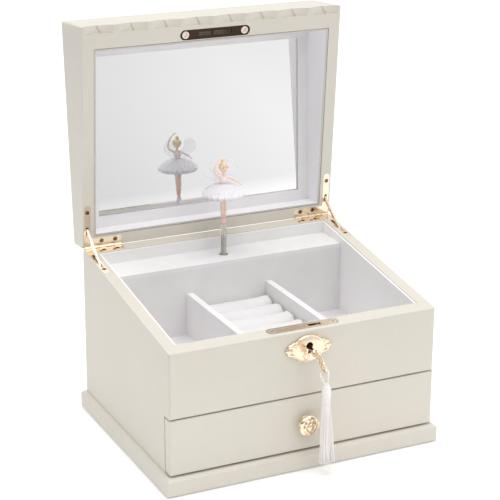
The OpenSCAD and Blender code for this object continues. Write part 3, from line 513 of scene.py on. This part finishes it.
# ---------------------------------------------------------------- camera
def make_camera():
    """A long lens from the front left, looking down on the box."""
    turn, down, roll = math.radians(25.86), math.radians(19.08), math.radians(0.34)
    forward = Vector((math.sin(turn) * math.cos(down), math.cos(turn) * math.cos(down),
                      -math.sin(down)))
    right = Vector((math.cos(turn), -math.sin(turn), 0))
    up = right.cross(forward)
    right, up = (right * math.cos(roll) + up * math.sin(roll),
                 up * math.cos(roll) - right * math.sin(roll))
    data = bpy.data.cameras.new("camera")
    data.lens, data.sensor_width, data.clip_end = 118.17, 36.0, 60.0
    camera = bpy.data.objects.new("camera", data)
    rotation = Matrix((right, up, -forward)).transposed().to_4x4()
    camera.matrix_world = Matrix.Translation((-0.50128, -1.02373, 0.53385)) @ rotation
    bpy.context.scene.collection.objects.link(camera)
    bpy.context.scene.camera = camera


make_camera()

# ---------------------------------------------------------------- cord and tassel
DROOP, TURN, BOW_AT, EYE_AT = math.radians(18), math.radians(22), 20.0, 8.8
KEY_AT = Vector((0.8, -83.1, 95.3))
EYE = KEY_AT + Vector((EYE_AT * math.sin(TURN),
                       -BOW_AT * math.cos(DROOP) + EYE_AT * math.cos(TURN) * math.sin(DROOP),
                       -BOW_AT * math.sin(DROOP) - EYE_AT * math.cos(TURN) * math.cos(DROOP)))
CORD_ROUTE = [
    (2.4, -0.6, -17.4), (2.2, -0.2, -14.6), (1.6, 0.4, -11.8), (0.8, 1, -9.2), (-0.1, 1.4, -6.9),
    (-0.8, 1.6, -5), (-1.5, 1.4, -4.3), (-1.9, 1.1, -3.3), (-1.9, 0.8, -2.3), (-1.6, 0.4, -1.3),
    (-0.9, 0.2, -0.5), (0, 0, 0), (1.1, -0.1, 0.2), (2.1, 0, 0.1), (3.1, 0.1, -0.4),
    (3.8, 0.4, -1.2), (4.2, 0.7, -2.1), (4.6, 1.2, -4.2), (4.7, 1.4, -6.4), (4.5, 1.4, -8.8),
    (4.1, 1.1, -11.4), (3.5, 0.8, -14.4), (2.9, 0.6, -17.4)]
TASSEL_TOP = EYE.z - 11.2
TASSEL_X = EYE.x + 2.6


def make_tassel():
    """Head of wound silk, the binding at its neck, the knot on top and the loose threads."""
    rng = random.Random(7)
    top = TASSEL_TOP
    cx, cy = TASSEL_X, EYE.y
    head = Shape()
    # Round head of threads folded over the cord, drawn in at the neck
    profile = [(1.2, 0.2), (2.1, -0.4), (2.9, -2.0), (3.3, -4.2), (3.4, -6.6), (3.1, -8.8),
               (2.6, -10.2), (2.5, -11.2), (2.8, -12.4), (3.1, -14.0)]
    rows = smooth_path(profile, 4)
    head.add(*lathe(list(reversed(rows)), 96, (cx, cy, top),
                    lambda w, i: 1 + 0.025 * math.sin(30 * w + 0.3 * i)))
    pieces = [head.piece("tassel_head", SILK, "tassel", "silk", stands_for=("tassel",))]
    # Binding wound round the neck
    band = Shape()
    for i in range(5):
        z = top - 9.9 - i * 0.62
        ring = [(cx + 2.8 * math.cos(TAU * k / 40), cy + 2.8 * math.sin(TAU * k / 40),
                 z + 0.62 * k / 40) for k in range(40)]
        band.add(*tube(ring, 0.36, 8))
    pieces.append(band.piece("tassel_binding", SILK, "tassel", "silk"))
    # Knot where the loop's two legs meet above the head
    tie = Shape()
    tie.add(*limb([(cx - 1.2, cy, top + 0.2, 0.6), (cx - 0.3, cy - 1.2, top + 0.9, 0.7),
                   (cx + 1.1, cy - 0.5, top + 0.4, 0.7), (cx + 0.8, cy + 1.1, top - 0.2, 0.7),
                   (cx - 0.9, cy + 0.9, top + 0.6, 0.6), (cx - 1.4, cy - 0.5, top - 0.2, 0.5)]))
    pieces.append(tie.piece("tassel_knot", SILK, "tassel", "silk"))
    # Loose threads of the skirt
    skirt = Shape()
    count = 280
    for i in range(count):
        w = i * 2.399963
        share = math.sqrt((i + 0.5) / count)
        x0, y0 = 2.9 * share * math.cos(w), 2.8 * share * math.sin(w)
        foot = top - 60.0 + rng.uniform(-0.6, 1.6)
        x1 = 1.6 + 6.2 * share * math.cos(w) + rng.uniform(-0.6, 0.6)
        y1 = 2.9 * share * math.sin(w) + rng.uniform(-0.3, 0.2)
        bow = rng.uniform(-0.5, 0.5)
        path = [(cx + x0 + (x1 - x0) * (t ** 1.15) + bow * math.sin(math.pi * t),
                 cy + y0 + (y1 - y0) * t, top - 12 + (foot - top + 12) * t)
                for t in (k / 6 for k in range(7))]
        skirt.add(*tube(path, 0.26, 5))
    pieces.append(skirt.piece("tassel_skirt", SILK, "tassel", "silk"))
    # With the drawer out, the threads hang into it and end on its floor
    for piece in pieces:
        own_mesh(piece)
    return pieces


def make_cord(tassel):
    """The loop from the tassel's head up through the key's eye and down again."""
    line = smooth_path([tuple(EYE + Vector(p)) for p in CORD_ROUTE], 6)
    cord = Shape().add(*tube(line, 0.52, 12, lobes=2, depth=0.15, turns=12))
    piece = cord.piece("tassel_loop", SILK, "tassel", "silk", stands_for=("tassel_cord",))


make_cord(make_tassel())


# ---------------------------------------------------------------- ring cushion
def swell(roll, low, high):
    """Cloth simulation of a roll's cover under pressure, at ten times full size. Each point stays
    within 0.9 mm of its start and inside the roll's box, and the result is one level finer."""
    scale, cap = 10, 0.0009
    for v in roll.data.vertices:
        v.co *= scale
    remesh = roll.modifiers.new("remesh", "REMESH")
    remesh.mode, remesh.voxel_size = "VOXEL", 0.0011 * scale
    applied(roll)
    start = np.array([v.co[:] for v in roll.data.vertices])
    cover = roll.modifiers.new("cover", "CLOTH")
    cover.settings.use_pressure = True
    cover.settings.uniform_pressure_force = 4
    cover.settings.effector_weights.gravity = 0
    cover.point_cache.frame_end = 20
    for step in range(1, 21):
        bpy.context.scene.frame_set(step)
    applied(roll)
    bpy.context.scene.frame_set(1)
    move = np.array([v.co[:] for v in roll.data.vertices]) - start
    reach = np.linalg.norm(move, axis=1, keepdims=True)
    move *= np.minimum(1, cap * scale / np.maximum(reach, 1e-9))
    inside = np.clip((start + move) / scale, low, high)
    for v, co in zip(roll.data.vertices, inside):
        v.co = co
    fine = roll.modifiers.new("fine", "SUBSURF")
    fine.levels = fine.render_levels = 1
    applied(roll)
    roll.data.polygons.foreach_set("use_smooth", [True] * len(roll.data.polygons))


def make_rolls():
    """Stuffed rolls side by side, drawn in at the ends and where they meet."""
    low, high = (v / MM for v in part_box("ring_cushion"))
    pitch = (high.y - low.y) / 6
    mid_x, half_x = (low.x + high.x) / 2, (high.x - low.x) / 2
    z_mid, half_z = (low.z + high.z) / 2, (high.z - low.z) / 2
    for i in range(6):
        y_mid = low.y + (i + 0.5) * pitch
        rows = []
        for a in range(61):
            t = -1 + 2 * a / 60
            t = math.copysign(1 - (1 - abs(t)) ** 1.35, t) if abs(t) < 1 else t
            end = max(0.0, (abs(t) - 0.9) / 0.1)
            pull = 0.10 + 0.90 * ((1 - end ** 2.6) ** (1 / 2.6) if end < 1 else 0.0)
            ring = []
            for k in range(64):
                w = TAU * k / 64
                c, s = math.cos(w), math.sin(w)
                y = math.copysign(abs(c) ** 0.87, c)
                z = math.copysign(abs(s) ** 0.87, s)
                pucker = 0.25 * max(0.0, abs(t) - 0.7) / 0.3 * math.sin(9 * w + 2.1 * i + 3 * t)
                soft = 0.28 * noise.noise(Vector((t * 5 + i * 7, c * 1.4, s * 1.4)))
                grow = pull * (1 + (pucker + soft) / 10)
                ring.append((mid_x + half_x * t, y_mid + (pitch / 2 - 0.05) * y * min(grow, 1),
                             max(z_mid + half_z * z * grow, low.z)))
            rows.append(ring)
        roll = Shape().add(*skin_rings([list(reversed(r)) for r in rows]))
        piece = roll.piece(f"ring_roll_{i + 1}", CUSHION_PAINTED_SHADE, "case", "suede",
                           stands_for=("ring_cushion",))
        swell(piece, np.array((low.x, y_mid - pitch / 2 + 0.05, low.z)) * MM,
              np.array((high.x, y_mid + pitch / 2 - 0.05, high.z)) * MM)


make_rolls()

# ---------------------------------------------------------------- ballerina
SPINDLE_Y = 57.0
HEAD = Vector((0.0, SPINDLE_Y, 187.4))


def at(points):
    """Points given from the spindle's axis, as points of the box; a radius is carried along."""
    return [(p[0], p[1] + SPINDLE_Y, *p[2:]) for p in points]


def make_doll():
    """Legs on tiptoe, ribboned shoes, shoulders and arms, and a boned bodice."""
    legs = Shape()
    for side in (-1, 1):
        legs.add(*limb(at([(side * 1.25, 0.2 * side, 172, 1.9), (side * 1.3, 0.1, 167, 1.75),
                           (side * 1.2, 0, 161, 1.5), (side * 1.15, 0.1, 157.5, 1.35),
                           (side * 1.1, 0.3, 154, 1.4), (side * 0.95, 0.2, 150, 1.1),
                           (side * 0.8, 0, 147.6, 0.86)])))
    legs.piece("doll_legs", SKIN, "dancer", "doll_plastic", stands_for=("ballerina_figure",))
    shoes = Shape()
    for side in (-1, 1):
        shoes.add(*limb(at([(side * 0.82, 0.05, 148.2, 0.96), (side * 0.76, -0.2, 146.8, 1.0),
                            (side * 0.66, -0.25, 145.2, 0.84), (side * 0.55, -0.1, 143.6, 0.68),
                            (side * 0.5, -0.1, 142.9, 0.5)])))
        for k, z in enumerate((148.9, 149.9)):
            ring = [(side * 0.9 + 1.14 * math.cos(w), SPINDLE_Y + 0.15 + 1.14 * math.sin(w),
                     z + 0.4 * math.sin(2 * w) * (1 - 2 * k))
                    for w in (TAU * q / 24 for q in range(24))]
            shoes.add(*tube(ring, 0.13, 6, closed=True))
    shoes.piece("doll_shoes", SHOES, "dancer", "doll_plastic")
    body = Shape()
    body.add(*limb(at([(0, 0, 179.8, 2.2), (0, 0, 181.2, 1.5), (0, 0, 182.4, 1.05),
                       (0, 0, 183.8, 0.95), (0, 0, 185.6, 1.1)])))
    for side in (-1, 1):
        body.add(*ball((side * 2.2, SPINDLE_Y, 180.6), (1.3, 1.15, 1.15)))
    # Raised arm, then lowered arm, each with a hand
    body.add(*limb(at([(-1.8, 0, 180.6, 1.05), (-4.4, -0.1, 181.8, 0.98), (-7.0, -0.2, 184.0, 0.9),
                       (-7.3, -0.3, 187.4, 0.84), (-6.2, -0.5, 190.8, 0.74),
                       (-4.4, -0.7, 193.3, 0.62), (-2.9, -0.9, 194.7, 0.5)])))
    body.add(*limb(at([(-2.9, -0.9, 194.7, 0.5), (-1.6, -1.0, 195.4, 0.62),
                       (-0.2, -1.1, 195.7, 0.42), (0.9, -1.2, 195.6, 0.2)])))
    body.add(*limb(at([(1.8, 0, 180.6, 1.05), (4.4, -0.8, 179.7, 0.98), (7.0, -1.6, 178.2, 0.88),
                       (9.8, -2.3, 176.4, 0.74), (11.8, -2.7, 174.9, 0.54)])))
    body.add(*limb(at([(11.8, -2.7, 174.9, 0.54), (12.8, -2.9, 174.0, 0.62),
                       (13.7, -3.0, 173.1, 0.38), (14.2, -3.0, 172.5, 0.18)])))
    body.piece("doll_body", SKIN, "dancer", "doll_plastic")
    bodice = Shape()
    profile = smooth_path([(3.2, 169.4), (2.9, 171.5), (2.3, 174.4), (2.3, 175.8), (2.7, 177.6),
                           (2.9, 179), (2.7, 180.2), (2.35, 180.6), (1.9, 180.3)], 4)
    verts, faces = lathe(profile, 40, (0, 0, 0), lambda w, i: 1 + 0.10 * math.cos(2 * w))
    bodice.add([(x, SPINDLE_Y + y * 0.86,
                 z + 0.5 * math.cos(2 * math.atan2(y, x)) * (z > 179.5)) for x, y, z in verts],
               faces)
    for k in range(-4, 5):
        w = k * 0.32 - math.pi / 2
        bodice.add(*ball((2.45 * math.cos(w), SPINDLE_Y + 2.1 * math.sin(w), 176.2),
                         (0.2, 0.2, 0.2), 6, 8))
    bodice.piece("doll_bodice", SATIN, "dancer", "doll_plastic")


def make_head():
    """A plain round-cheeked doll's face looking to the front."""
    rows = []
    for i in range(1, 28):
        a = math.pi * i / 28
        row = []
        for k in range(40):
            w = TAU * k / 40
            x, y, z = math.sin(a) * math.cos(w), -math.sin(a) * math.sin(w), -math.cos(a)
            jaw = 1 - 0.20 * max(0.0, -z) ** 1.5
            front = max(0.0, -y)
            nose = 0.42 * math.exp(-((x / 0.13) ** 2 + ((z + 0.16) / 0.16) ** 2)) * (front > 0.5)
            chin = 0.10 * math.exp(-((x / 0.3) ** 2 + ((z + 0.86) / 0.2) ** 2)) * front
            socket = sum(0.08 * math.exp(-(((x - s) / 0.16) ** 2 + ((z - 0.06) / 0.10) ** 2))
                         for s in (-0.36, 0.36)) * front
            cheek = sum(0.05 * math.exp(-(((x - s) / 0.2) ** 2 + ((z + 0.35) / 0.2) ** 2))
                        for s in (-0.45, 0.45)) * front
            grow = 1 + (nose * 0.6 + chin + cheek - socket) / 1.4
            row.append((HEAD.x + 3.15 * x * jaw * (1 + cheek), HEAD.y + 3.3 * y * jaw * grow,
                        HEAD.z - 0.2 + 3.75 * z))
        rows.append(row)
    Shape().add(*skin_rings(rows)).piece("doll_head", SKIN, "dancer", "doll_plastic")
    ink, lips = Shape(), Shape()
    for s in (-1, 1):
        ink.add(*ball((s * 1.12, HEAD.y - 2.86, HEAD.z + 0.1), (0.36, 0.2, 0.3), 10, 14))
        brow = [(s * (0.7 + 0.95 * t), HEAD.y - 3.08 + 0.42 * t * t,
                 HEAD.z + 0.78 + 0.22 * math.sin(math.pi * t)) for t in (q / 8 for q in range(9))]
        ink.add(*tube(brow, 0.09, 6))
    ink.piece("doll_eyes", INK, "dancer", "doll_plastic")
    lips.add(*ball((0, HEAD.y - 2.86, HEAD.z - 1.75), (0.62, 0.24, 0.17), 8, 14))
    lips.add(*ball((0, HEAD.y - 2.84, HEAD.z - 1.98), (0.46, 0.24, 0.15), 8, 14))
    lips.piece("doll_lips", ROUGE, "dancer", "doll_plastic")


def make_hair():
    """Combed cap and a wound bun, as one piece of moulded strands."""
    hair = Shape()
    rows = []
    for i in range(1, 26):
        a = math.pi * i / 26
        row = []
        for k in range(120):
            w = TAU * k / 120
            x, y, z = math.sin(a) * math.cos(w), -math.sin(a) * math.sin(w), -math.cos(a)
            face = max(0.0, -y) * max(0.0, 1 - ((z + 0.25) / 0.95) ** 2)
            low = max(0.0, -z - 0.25)
            strand = 0.035 * math.sin(40 * w + 5 * z)
            grow = 1 + strand * math.sin(a) - 0.42 * min(1, face * 2.2) - 0.55 * low
            row.append((HEAD.x + 3.5 * x * grow, HEAD.y + 0.35 + 3.55 * y * grow,
                        HEAD.z + 0.35 + 3.85 * z * (1 if z > 0 else 0.9)))
        rows.append(row)
    hair.add(*skin_rings(rows))
    bun = []
    for q in range(121):
        t = q / 120
        w, r = TAU * 5 * t, 0.95 * (1 - 0.5 * t)
        bun.append((r * math.cos(w), SPINDLE_Y + 1 + r * math.sin(w), 191.2 + 1.9 * t))
    hair.add(*tube(bun, 0.72, 16, lobes=6, depth=0.07, turns=10))
    for s in (-1, 1):
        hair.add(*limb([(s * 0.2, HEAD.y - 3.0, HEAD.z + 2.3, 0.5),
                        (s * 1.6, HEAD.y - 2.75, HEAD.z + 1.9, 0.62),
                        (s * 2.75, HEAD.y - 1.6, HEAD.z + 0.8, 0.7),
                        (s * 3.05, HEAD.y - 0.2, HEAD.z - 0.4, 0.6)]))
    hair.piece("doll_hair", HAIR, "dancer", "doll_hair", stands_for=("ballerina_hair",))


def make_tutu():
    """Layers of gathered net, each a strip drawn up at the waist. A layer is given by its rim's
    radius, the heights of its waist and rim, its folds, their phase and their depth."""
    waist_r = 2.9
    layers = [(16.3, 175.2, 168.0, 19, 0.2, 0.9), (16.4, 174.4, 166.9, 22, 1.1, 1.0),
              (15.8, 173.6, 165.9, 20, 2.3, 1.0), (14.6, 172.6, 165.2, 18, 3.1, 0.9),
              (12.6, 171.4, 164.9, 16, 0.7, 0.8)]
    for i, (rim, z_waist, z_rim, folds, phase, ruffle) in enumerate(layers):
        rows = []
        for a in range(19):
            t = a / 18
            row = []
            for k in range(264):
                w = TAU * k / 264
                fold = math.sin(folds * w + phase) + 0.45 * math.sin(2.3 * folds * w + 1.7 * phase)
                r = waist_r + (rim - waist_r) * t * (
                    1 - 0.02 * t * math.sin(folds * w + phase + 1.3))
                z = z_waist + (z_rim - z_waist) * t ** 1.9 + 0.30 * ruffle * t ** 1.6 * fold
                z += 0.2 * t * noise.noise(Vector((8 * math.cos(w), 8 * math.sin(w), i)))
                row.append((r * math.cos(w), SPINDLE_Y + r * math.sin(w), z))
            rows.append(row)
        verts = [p for row in rows for p in row]
        piece = Shape().add(verts, sheet_faces(rows, True)).piece(
            f"tutu_layer_{i + 1}", NET, "dancer", "net", stands_for=("tutu",))


def make_wings():
    """Organza wings with a fine wire edge and two veins each."""
    edge = [(0.7, 178.9), (1.9, 182.4), (4.0, 184.4), (4.8, 187.6), (5.2, 190.6), (8.2, 191.8),
            (12.2, 190.2), (14.1, 186.4), (13.1, 182.0), (10.2, 179.8), (8.6, 177.5), (5.4, 176.3),
            (2.3, 177.3)]
    outline = smooth_path(edge + [edge[0]], 8)[:-1]
    centre = (7.2, 183.0)
    for side, name in ((-1, "left"), (1, "right")):
        def place(u, v, bulge=0.0):
            turn = math.radians(12) * side
            back = 3.1 + 0.3 * math.sin(u / 4.2) + bulge
            return (side * u * math.cos(turn), SPINDLE_Y + back + abs(u * math.sin(turn)), v)

        def ripple(u, v):
            return 0.25 * math.sin(9 * math.atan2(v - centre[1], u - centre[0]))
        rows = []
        for a in range(9):
            t = 0.04 + 0.96 * a / 8
            rows.append([place(centre[0] + (u - centre[0]) * t, centre[1] + (v - centre[1]) * t,
                               ripple(u, v) * t) for u, v in outline])
        verts = [p for row in rows for p in row]
        faces = sheet_faces(rows, True)
        verts.append(place(*centre))
        faces += [(len(verts) - 1, (j + 1) % len(outline), j) for j in range(len(outline))]
        wing = Shape().add(verts, faces).piece(f"wing_{name}", ORGANZA, "dancer", "net",
                                               stands_for=("wings",))
        wire = Shape()
        wire.add(*tube([place(u, v, ripple(u, v)) for u, v in outline], 0.16, 8, closed=True))
        for vein in ([(1.0, 179.6), (5.0, 182.6), (8.8, 185.8), (12.6, 189.0)],
                     [(1.0, 179.0), (4.2, 179.2), (7.0, 178.6), (8.4, 178.0)]):
            wire.add(*tube([place(*q) for q in smooth_path(vein, 6)], 0.11, 6))
        wire.piece(f"wing_wire_{name}", ORGANZA, "dancer", "net")


def make_spring():
    """The coil and its cap on the spindle, and the clear socket on the doll's toes."""
    turns, pitch = 42, 0.5
    middle = (0, SPINDLE_Y, 0)
    path = [(1.9 * math.cos(w), SPINDLE_Y + 1.9 * math.sin(w), 110.5 + pitch * w / TAU)
            for w in (TAU * k / 18 for k in range(turns * 18 + 1))]
    coil = Shape().add(*tube(path, 0.26, 8))
    piece = coil.piece("spring_coil", WIRE, slot="spring_wire", stands_for=("spindle_spring",))
    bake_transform(piece)
    cap = Shape().add(*lathe(smooth_path([(0.05, 131.2), (2.1, 131.2), (2.2, 131.5), (2.2, 132.5),
                                          (1.95, 133.4), (1.4, 134.0), (0.7, 134.32), (0.05, 134.4)],
                                         4), 32, middle))
    cap.piece("spring_cap", WIRE, "spindle", "spring_wire")
    socket = Shape().add(*lathe(smooth_path([
        (0.05, 134.45), (2.1, 134.5), (2.9, 135.3), (3.05, 136.4), (2.85, 137.7), (2.4, 139.3),
        (1.95, 141.0), (1.72, 142.3), (1.6, 143.1), (0.05, 143.1)], 4), 40, middle))
    socket.piece("doll_socket", CLEAR, "dancer", "clear_plastic", stands_for=("clear_socket",))


make_doll()
make_head()
make_hair()
make_tutu()
make_wings()
make_spring()


# ---------------------------------------------------------------- lock furniture
def make_escutcheon():
    """Domed oval with a row of beads and a fan of ribbed shell at each side."""
    cx, cz, y0 = 0.9, 92.8, FRONT_Y
    around = 288

    def outline(w):
        c, s = math.cos(w), math.sin(w)
        oval = 1 / math.hypot(c / 12.6, s / 10.2)
        reach = 18.2 + 0.5 * math.cos(26 * math.asin(max(-1, min(1, s))))
        shell = 1 / math.hypot(c / reach, s / 8.2)
        pinch = abs(c) ** 0.6
        return max(oval, shell * (0.35 + 0.65 * pinch)), oval

    rows = []
    for a in range(0, 40):
        t = a / 39
        row = []
        for k in range(around):
            w = TAU * k / around
            full, oval = outline(w)
            r = full * (0.02 + 0.98 * t)
            inside = r / oval
            if inside <= 1:
                h = 1.5 + 1.5 * math.sqrt(max(0.0, 1 - inside ** 2.2))
                if inside > 0.86:
                    h = 1.9 + 0.25 * math.cos((inside - 0.93) / 0.07 * math.pi / 2)
            else:
                out = (r - oval) / max(full - oval, 1e-6)
                u, v = r * math.cos(w), r * math.sin(w)
                fan = math.atan2(v, abs(u) - 8.0)
                h = 1.35 + 0.75 * math.sin(math.pi * min(1, out * 0.9 + 0.1)) * (
                    0.45 + 0.55 * abs(math.cos(5.5 * fan)))
            edge = min(1.0, (1 - t) / 0.05)
            row.append((cx + r * math.cos(w), y0 - 0.5 - (h - 0.5) * math.sqrt(edge),
                        cz + r * math.sin(w)))
        rows.append(row)
    rows.append([(x, y0, z) for x, _, z in rows[-1]])
    rows.append([(cx + (x - cx) * 0.02, y0, cz + (z - cz) * 0.02) for x, _, z in rows[-1]])
    plate = Shape().add(*skin_rings([list(reversed(r)) for r in rows]))
    for side in (-1, 1):
        for k in range(-3, 4):
            w = k * 0.30
            plate_r = 12.9
            x = cx + side * plate_r * math.cos(w)
            z = cz + plate_r * 0.81 * math.sin(w)
            plate.add(*ball((x, y0 - 2.15, z), (0.62, 0.75, 0.62), 8, 12))
    o = plate.piece("escutcheon_cast", GOLD, slot="gold_fittings")
    hole = Shape()
    ring = []
    for k in range(64):
        w = TAU * k / 64
        ring.append((0.8 + 2.6 * math.cos(w), 95.3 + 2.6 * math.sin(w)))
    hole.add(*skin_rings([[(x, y, z) for x, z in ring] for y in (-90, -80)]))
    tool = hole.piece("tool_a", GOLD)
    cut(o, tool)
    foot = Shape()
    wedge = [(-0.9, 89.4), (2.5, 89.4), (1.5, 94.2), (0.1, 94.2)]
    foot.add(*skin_rings([[(x, y, z) for x, z in wedge] for y in (-90, -80)]))
    cut(o, foot.piece("tool_b", GOLD))
    o.data.polygons.foreach_set("use_smooth", [True] * len(o.data.polygons))
    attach(o, "case")
    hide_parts("escutcheon")


def key_matrix():
    return (Matrix.Translation(KEY_AT) @ Matrix.Rotation(math.pi / 2 + DROOP, 4, "X")
            @ Matrix.Rotation(TURN, 4, "Z"))


def make_key():
    """Turned shank and a cast bow of scrolls, leaves and beads round its piercings."""
    key = Shape()
    shank = [(0.9, -4.2), (1.5, -4.0), (1.5, 7.6), (2.1, 8.0), (2.35, 8.6), (2.1, 9.2), (1.7, 9.6),
             (2.2, 10.2), (2.5, 10.8), (2.2, 11.4), (1.6, 11.9), (1.5, 13.2), (1.1, 14.0)]
    key.add(*lathe(shank, 32))
    bit = [(-0.6, -4.2), (0.6, -4.2), (0.6, -0.9), (-0.6, -0.9)]
    key.add(*skin_rings([[(x, y, z) for x, y in bit] for z in (-4.2, -2.0)]))
    # Outer rim of the bow, thick and lobed
    rim = []
    for k in range(120):
        w = TAU * k / 120
        lobe = 0.35 * abs(math.sin(6 * w))
        reach = 9.3 if math.cos(w) > 0 else 6.5
        rim.append((0, (reach + lobe) * math.cos(w), BOW_AT + (7.3 + lobe) * math.sin(w)))
    key.add(*tube(rim, 0.95, 12, closed=True))
    for k in range(12):
        w = TAU * (k + 0.5) / 12
        reach = 9.9 if math.cos(w) > 0 else 7.0
        if math.cos(w) > -0.9:
            key.add(*ball((0, reach * math.cos(w), BOW_AT + 7.9 * math.sin(w)), (1.0, 0.85, 0.85),
                          8, 12))
    # Scrolls that fill the bow, on both faces, and the eye that the cord goes through
    for side in (-1, 1):
        for up in (-1, 1):
            scroll = []
            for q in range(40):
                t = q / 39
                w = 0.6 + 5.2 * t
                r = 3.3 - 2.2 * t
                scroll.append((0.35 * side, up * (3.6 + r * math.cos(w) * 0.75),
                               BOW_AT + side * r * math.sin(w)))
            key.add(*tube(scroll, [0.75 - 0.35 * q / 39 for q in range(40)], 10))
    key.add(*ball((0, 0, BOW_AT), (1.35, 1.5, 2.4), 12, 20))
    key.add(*tube([(0, 0, BOW_AT - 7.4), (0, 0, BOW_AT + 7.4)], 0.8, 10))
    for up in (-1, 1):
        key.add(*limb([(0, up * 1.0, BOW_AT, 0.8), (0, up * 4.6, BOW_AT, 0.55),
                       (0, up * 6.2, BOW_AT, 0.5)]))
    eye = [(0, -EYE_AT + 1.75 * math.cos(TAU * k / 32), BOW_AT + 1.75 * math.sin(TAU * k / 32))
           for k in range(32)]
    key.add(*tube(eye, 0.62, 10, closed=True))
    key.moved(key_matrix())
    key.piece("key_cast", GOLD, "key", "gold_fittings", stands_for=("key",))


def make_knob():
    """Flower-shaped knob: two rings of petals round a button."""
    knob = Shape()
    outer = [(5.6, 0.0), (5.7, 0.7), (4.6, 1.2), (3.4, 1.7), (3.0, 2.3), (3.6, 3.1), (5.8, 4.1),
             (7.7, 4.9), (8.3, 5.9), (7.9, 7.0), (6.8, 7.8), (5.6, 7.8), (4.9, 7.3)]
    path = smooth_path(outer, 4)
    head = len(path)

    def petals(w, i):
        share = max(0.0, min(1.0, (i / head - 0.45) / 0.3))
        return 1 - 0.13 * share * (1 - abs(math.cos(2.5 * w))) ** 1.2
    knob.add(*lathe(path, 120, wave=petals))
    inner = smooth_path([(0.4, 6.0), (4.4, 6.6), (5.6, 7.7), (5.7, 8.6), (4.9, 9.2), (3.7, 9.1),
                         (3.1, 8.7)], 4)
    knob.add(*lathe(inner, 120, wave=lambda w, i: 1 - 0.14 * (
        1 - abs(math.cos(2.5 * w + 0.8))) ** 1.2 * min(1, i / 10)))
    knob.add(*lathe(smooth_path([(0.3, 7.6), (2.6, 8.3), (2.9, 9.2), (2.2, 9.9), (1.0, 10.2),
                                 (0.05, 10.2)], 4), 60, wave=lambda w, i: 1 + 0.05 * math.sin(5 * w)))
    knob.add(*lathe([(2.0, -9.0), (2.0, 0.5)], 24))
    knob.moved(Matrix.Translation((0, FRONT_Y, 35)) @ Matrix.Rotation(math.pi / 2, 4, "X"))
    knob.piece("knob_cast", GOLD, "drawer", "gold_fittings", stands_for=("drawer_knob",))


make_escutcheon()
make_key()
make_knob()


# ---------------------------------------------------------------- stage and light
def make_stage():
    """A pale floor that glows faintly and is greyer towards the front and the left, as painted light
    and shade, a pale world that is weaker low on the left and the front, and two soft lights.
    """
    mesh = bpy.data.meshes.new("floor")
    mesh.from_pydata([(-12, -12, 0), (12, -12, 0), (12, 12, 0), (-12, 12, 0)], [], [(0, 1, 2, 3)])
    floor = bpy.data.objects.new("floor", mesh)
    bpy.context.scene.collection.objects.link(floor)
    m = Mat("studio_floor", Roughness=0.9, Emission_Strength=0.15)
    depth = m.node("ShaderNodeSeparateXYZ")
    m.link(m.coord, depth.inputs[0])
    near = m.node("ShaderNodeMapRange", From_Min=-0.55, From_Max=-0.40)
    m.link(depth.outputs["Y"], near.inputs["Value"])
    left = m.node("ShaderNodeMapRange", From_Min=-0.50, From_Max=-0.32)
    m.link(depth.outputs["X"], left.inputs["Value"])
    floor_shade_mask = m.node("ShaderNodeMath", operation="MINIMUM")
    m.link(near.outputs["Result"], floor_shade_mask.inputs[0])
    m.link(left.outputs["Result"], floor_shade_mask.inputs[1])
    # Painted light and shade: the floor glows faintly, and is greyer towards the front and the left so
    # that less light reaches the box's left side from below
    tone = m.ramp(floor_shade_mask.outputs[0], [(0.0, (0.64, 0.64, 0.64, 1)), (1.0, (0.92, 0.92, 0.92, 1))])
    m.base(tone).link(tone, m.p.inputs["Emission Color"])
    mesh.materials.append(m.m)
    scene = bpy.context.scene
    world = bpy.data.worlds.new("studio")
    scene.world = world
    world.use_nodes = True
    tree = world.node_tree
    back = tree.nodes["Background"]
    coord = tree.nodes.new("ShaderNodeTexCoord")
    split = tree.nodes.new("ShaderNodeSeparateXYZ")
    ramp = tree.nodes.new("ShaderNodeValToRGB")
    ramp.color_ramp.elements[0].position = 0.0
    ramp.color_ramp.elements[0].color = (0.78, 0.78, 0.79, 1)
    ramp.color_ramp.elements[1].position = 0.85
    ramp.color_ramp.elements[1].color = (1.0, 1.0, 1.0, 1)
    tree.links.new(coord.outputs["Generated"], split.inputs[0])
    tree.links.new(split.outputs["Z"], ramp.inputs["Fac"])
    tree.links.new(ramp.outputs["Color"], back.inputs["Color"])
    lean = tree.nodes.new("ShaderNodeVectorMath")
    lean.operation = "DOT_PRODUCT"
    lean.inputs[1].default_value = (0.95, 0.45, 1.1)
    side = tree.nodes.new("ShaderNodeMapRange")
    for socket, value in (("From Min", -1.0), ("From Max", 0.3), ("To Min", 0.15), ("To Max", 1.0)):
        side.inputs[socket].default_value = value
    tree.links.new(coord.outputs["Generated"], lean.inputs[0])
    tree.links.new(lean.outputs["Value"], side.inputs["Value"])
    tree.links.new(side.outputs["Result"], back.inputs["Strength"])
    for name, place, energy, size in (("key_light", (0.3, -2.0, 2.3), 8.0, 1.8),
                                      ("top_light", (-0.2, -0.1, 2.5), 28.0, 2.2)):
        data = bpy.data.lights.new(name, "AREA")
        data.energy, data.size = energy, size
        light = bpy.data.objects.new(name, data)
        light.location = place
        light.rotation_mode = "QUATERNION"
        light.rotation_quaternion = (Vector((0, 0, 0.12)) - Vector(place)).to_track_quat("-Z", "Y")
        scene.collection.objects.link(light)
    scene.view_settings.view_transform = "Standard"
    scene.view_settings.look = "None"


make_stage()
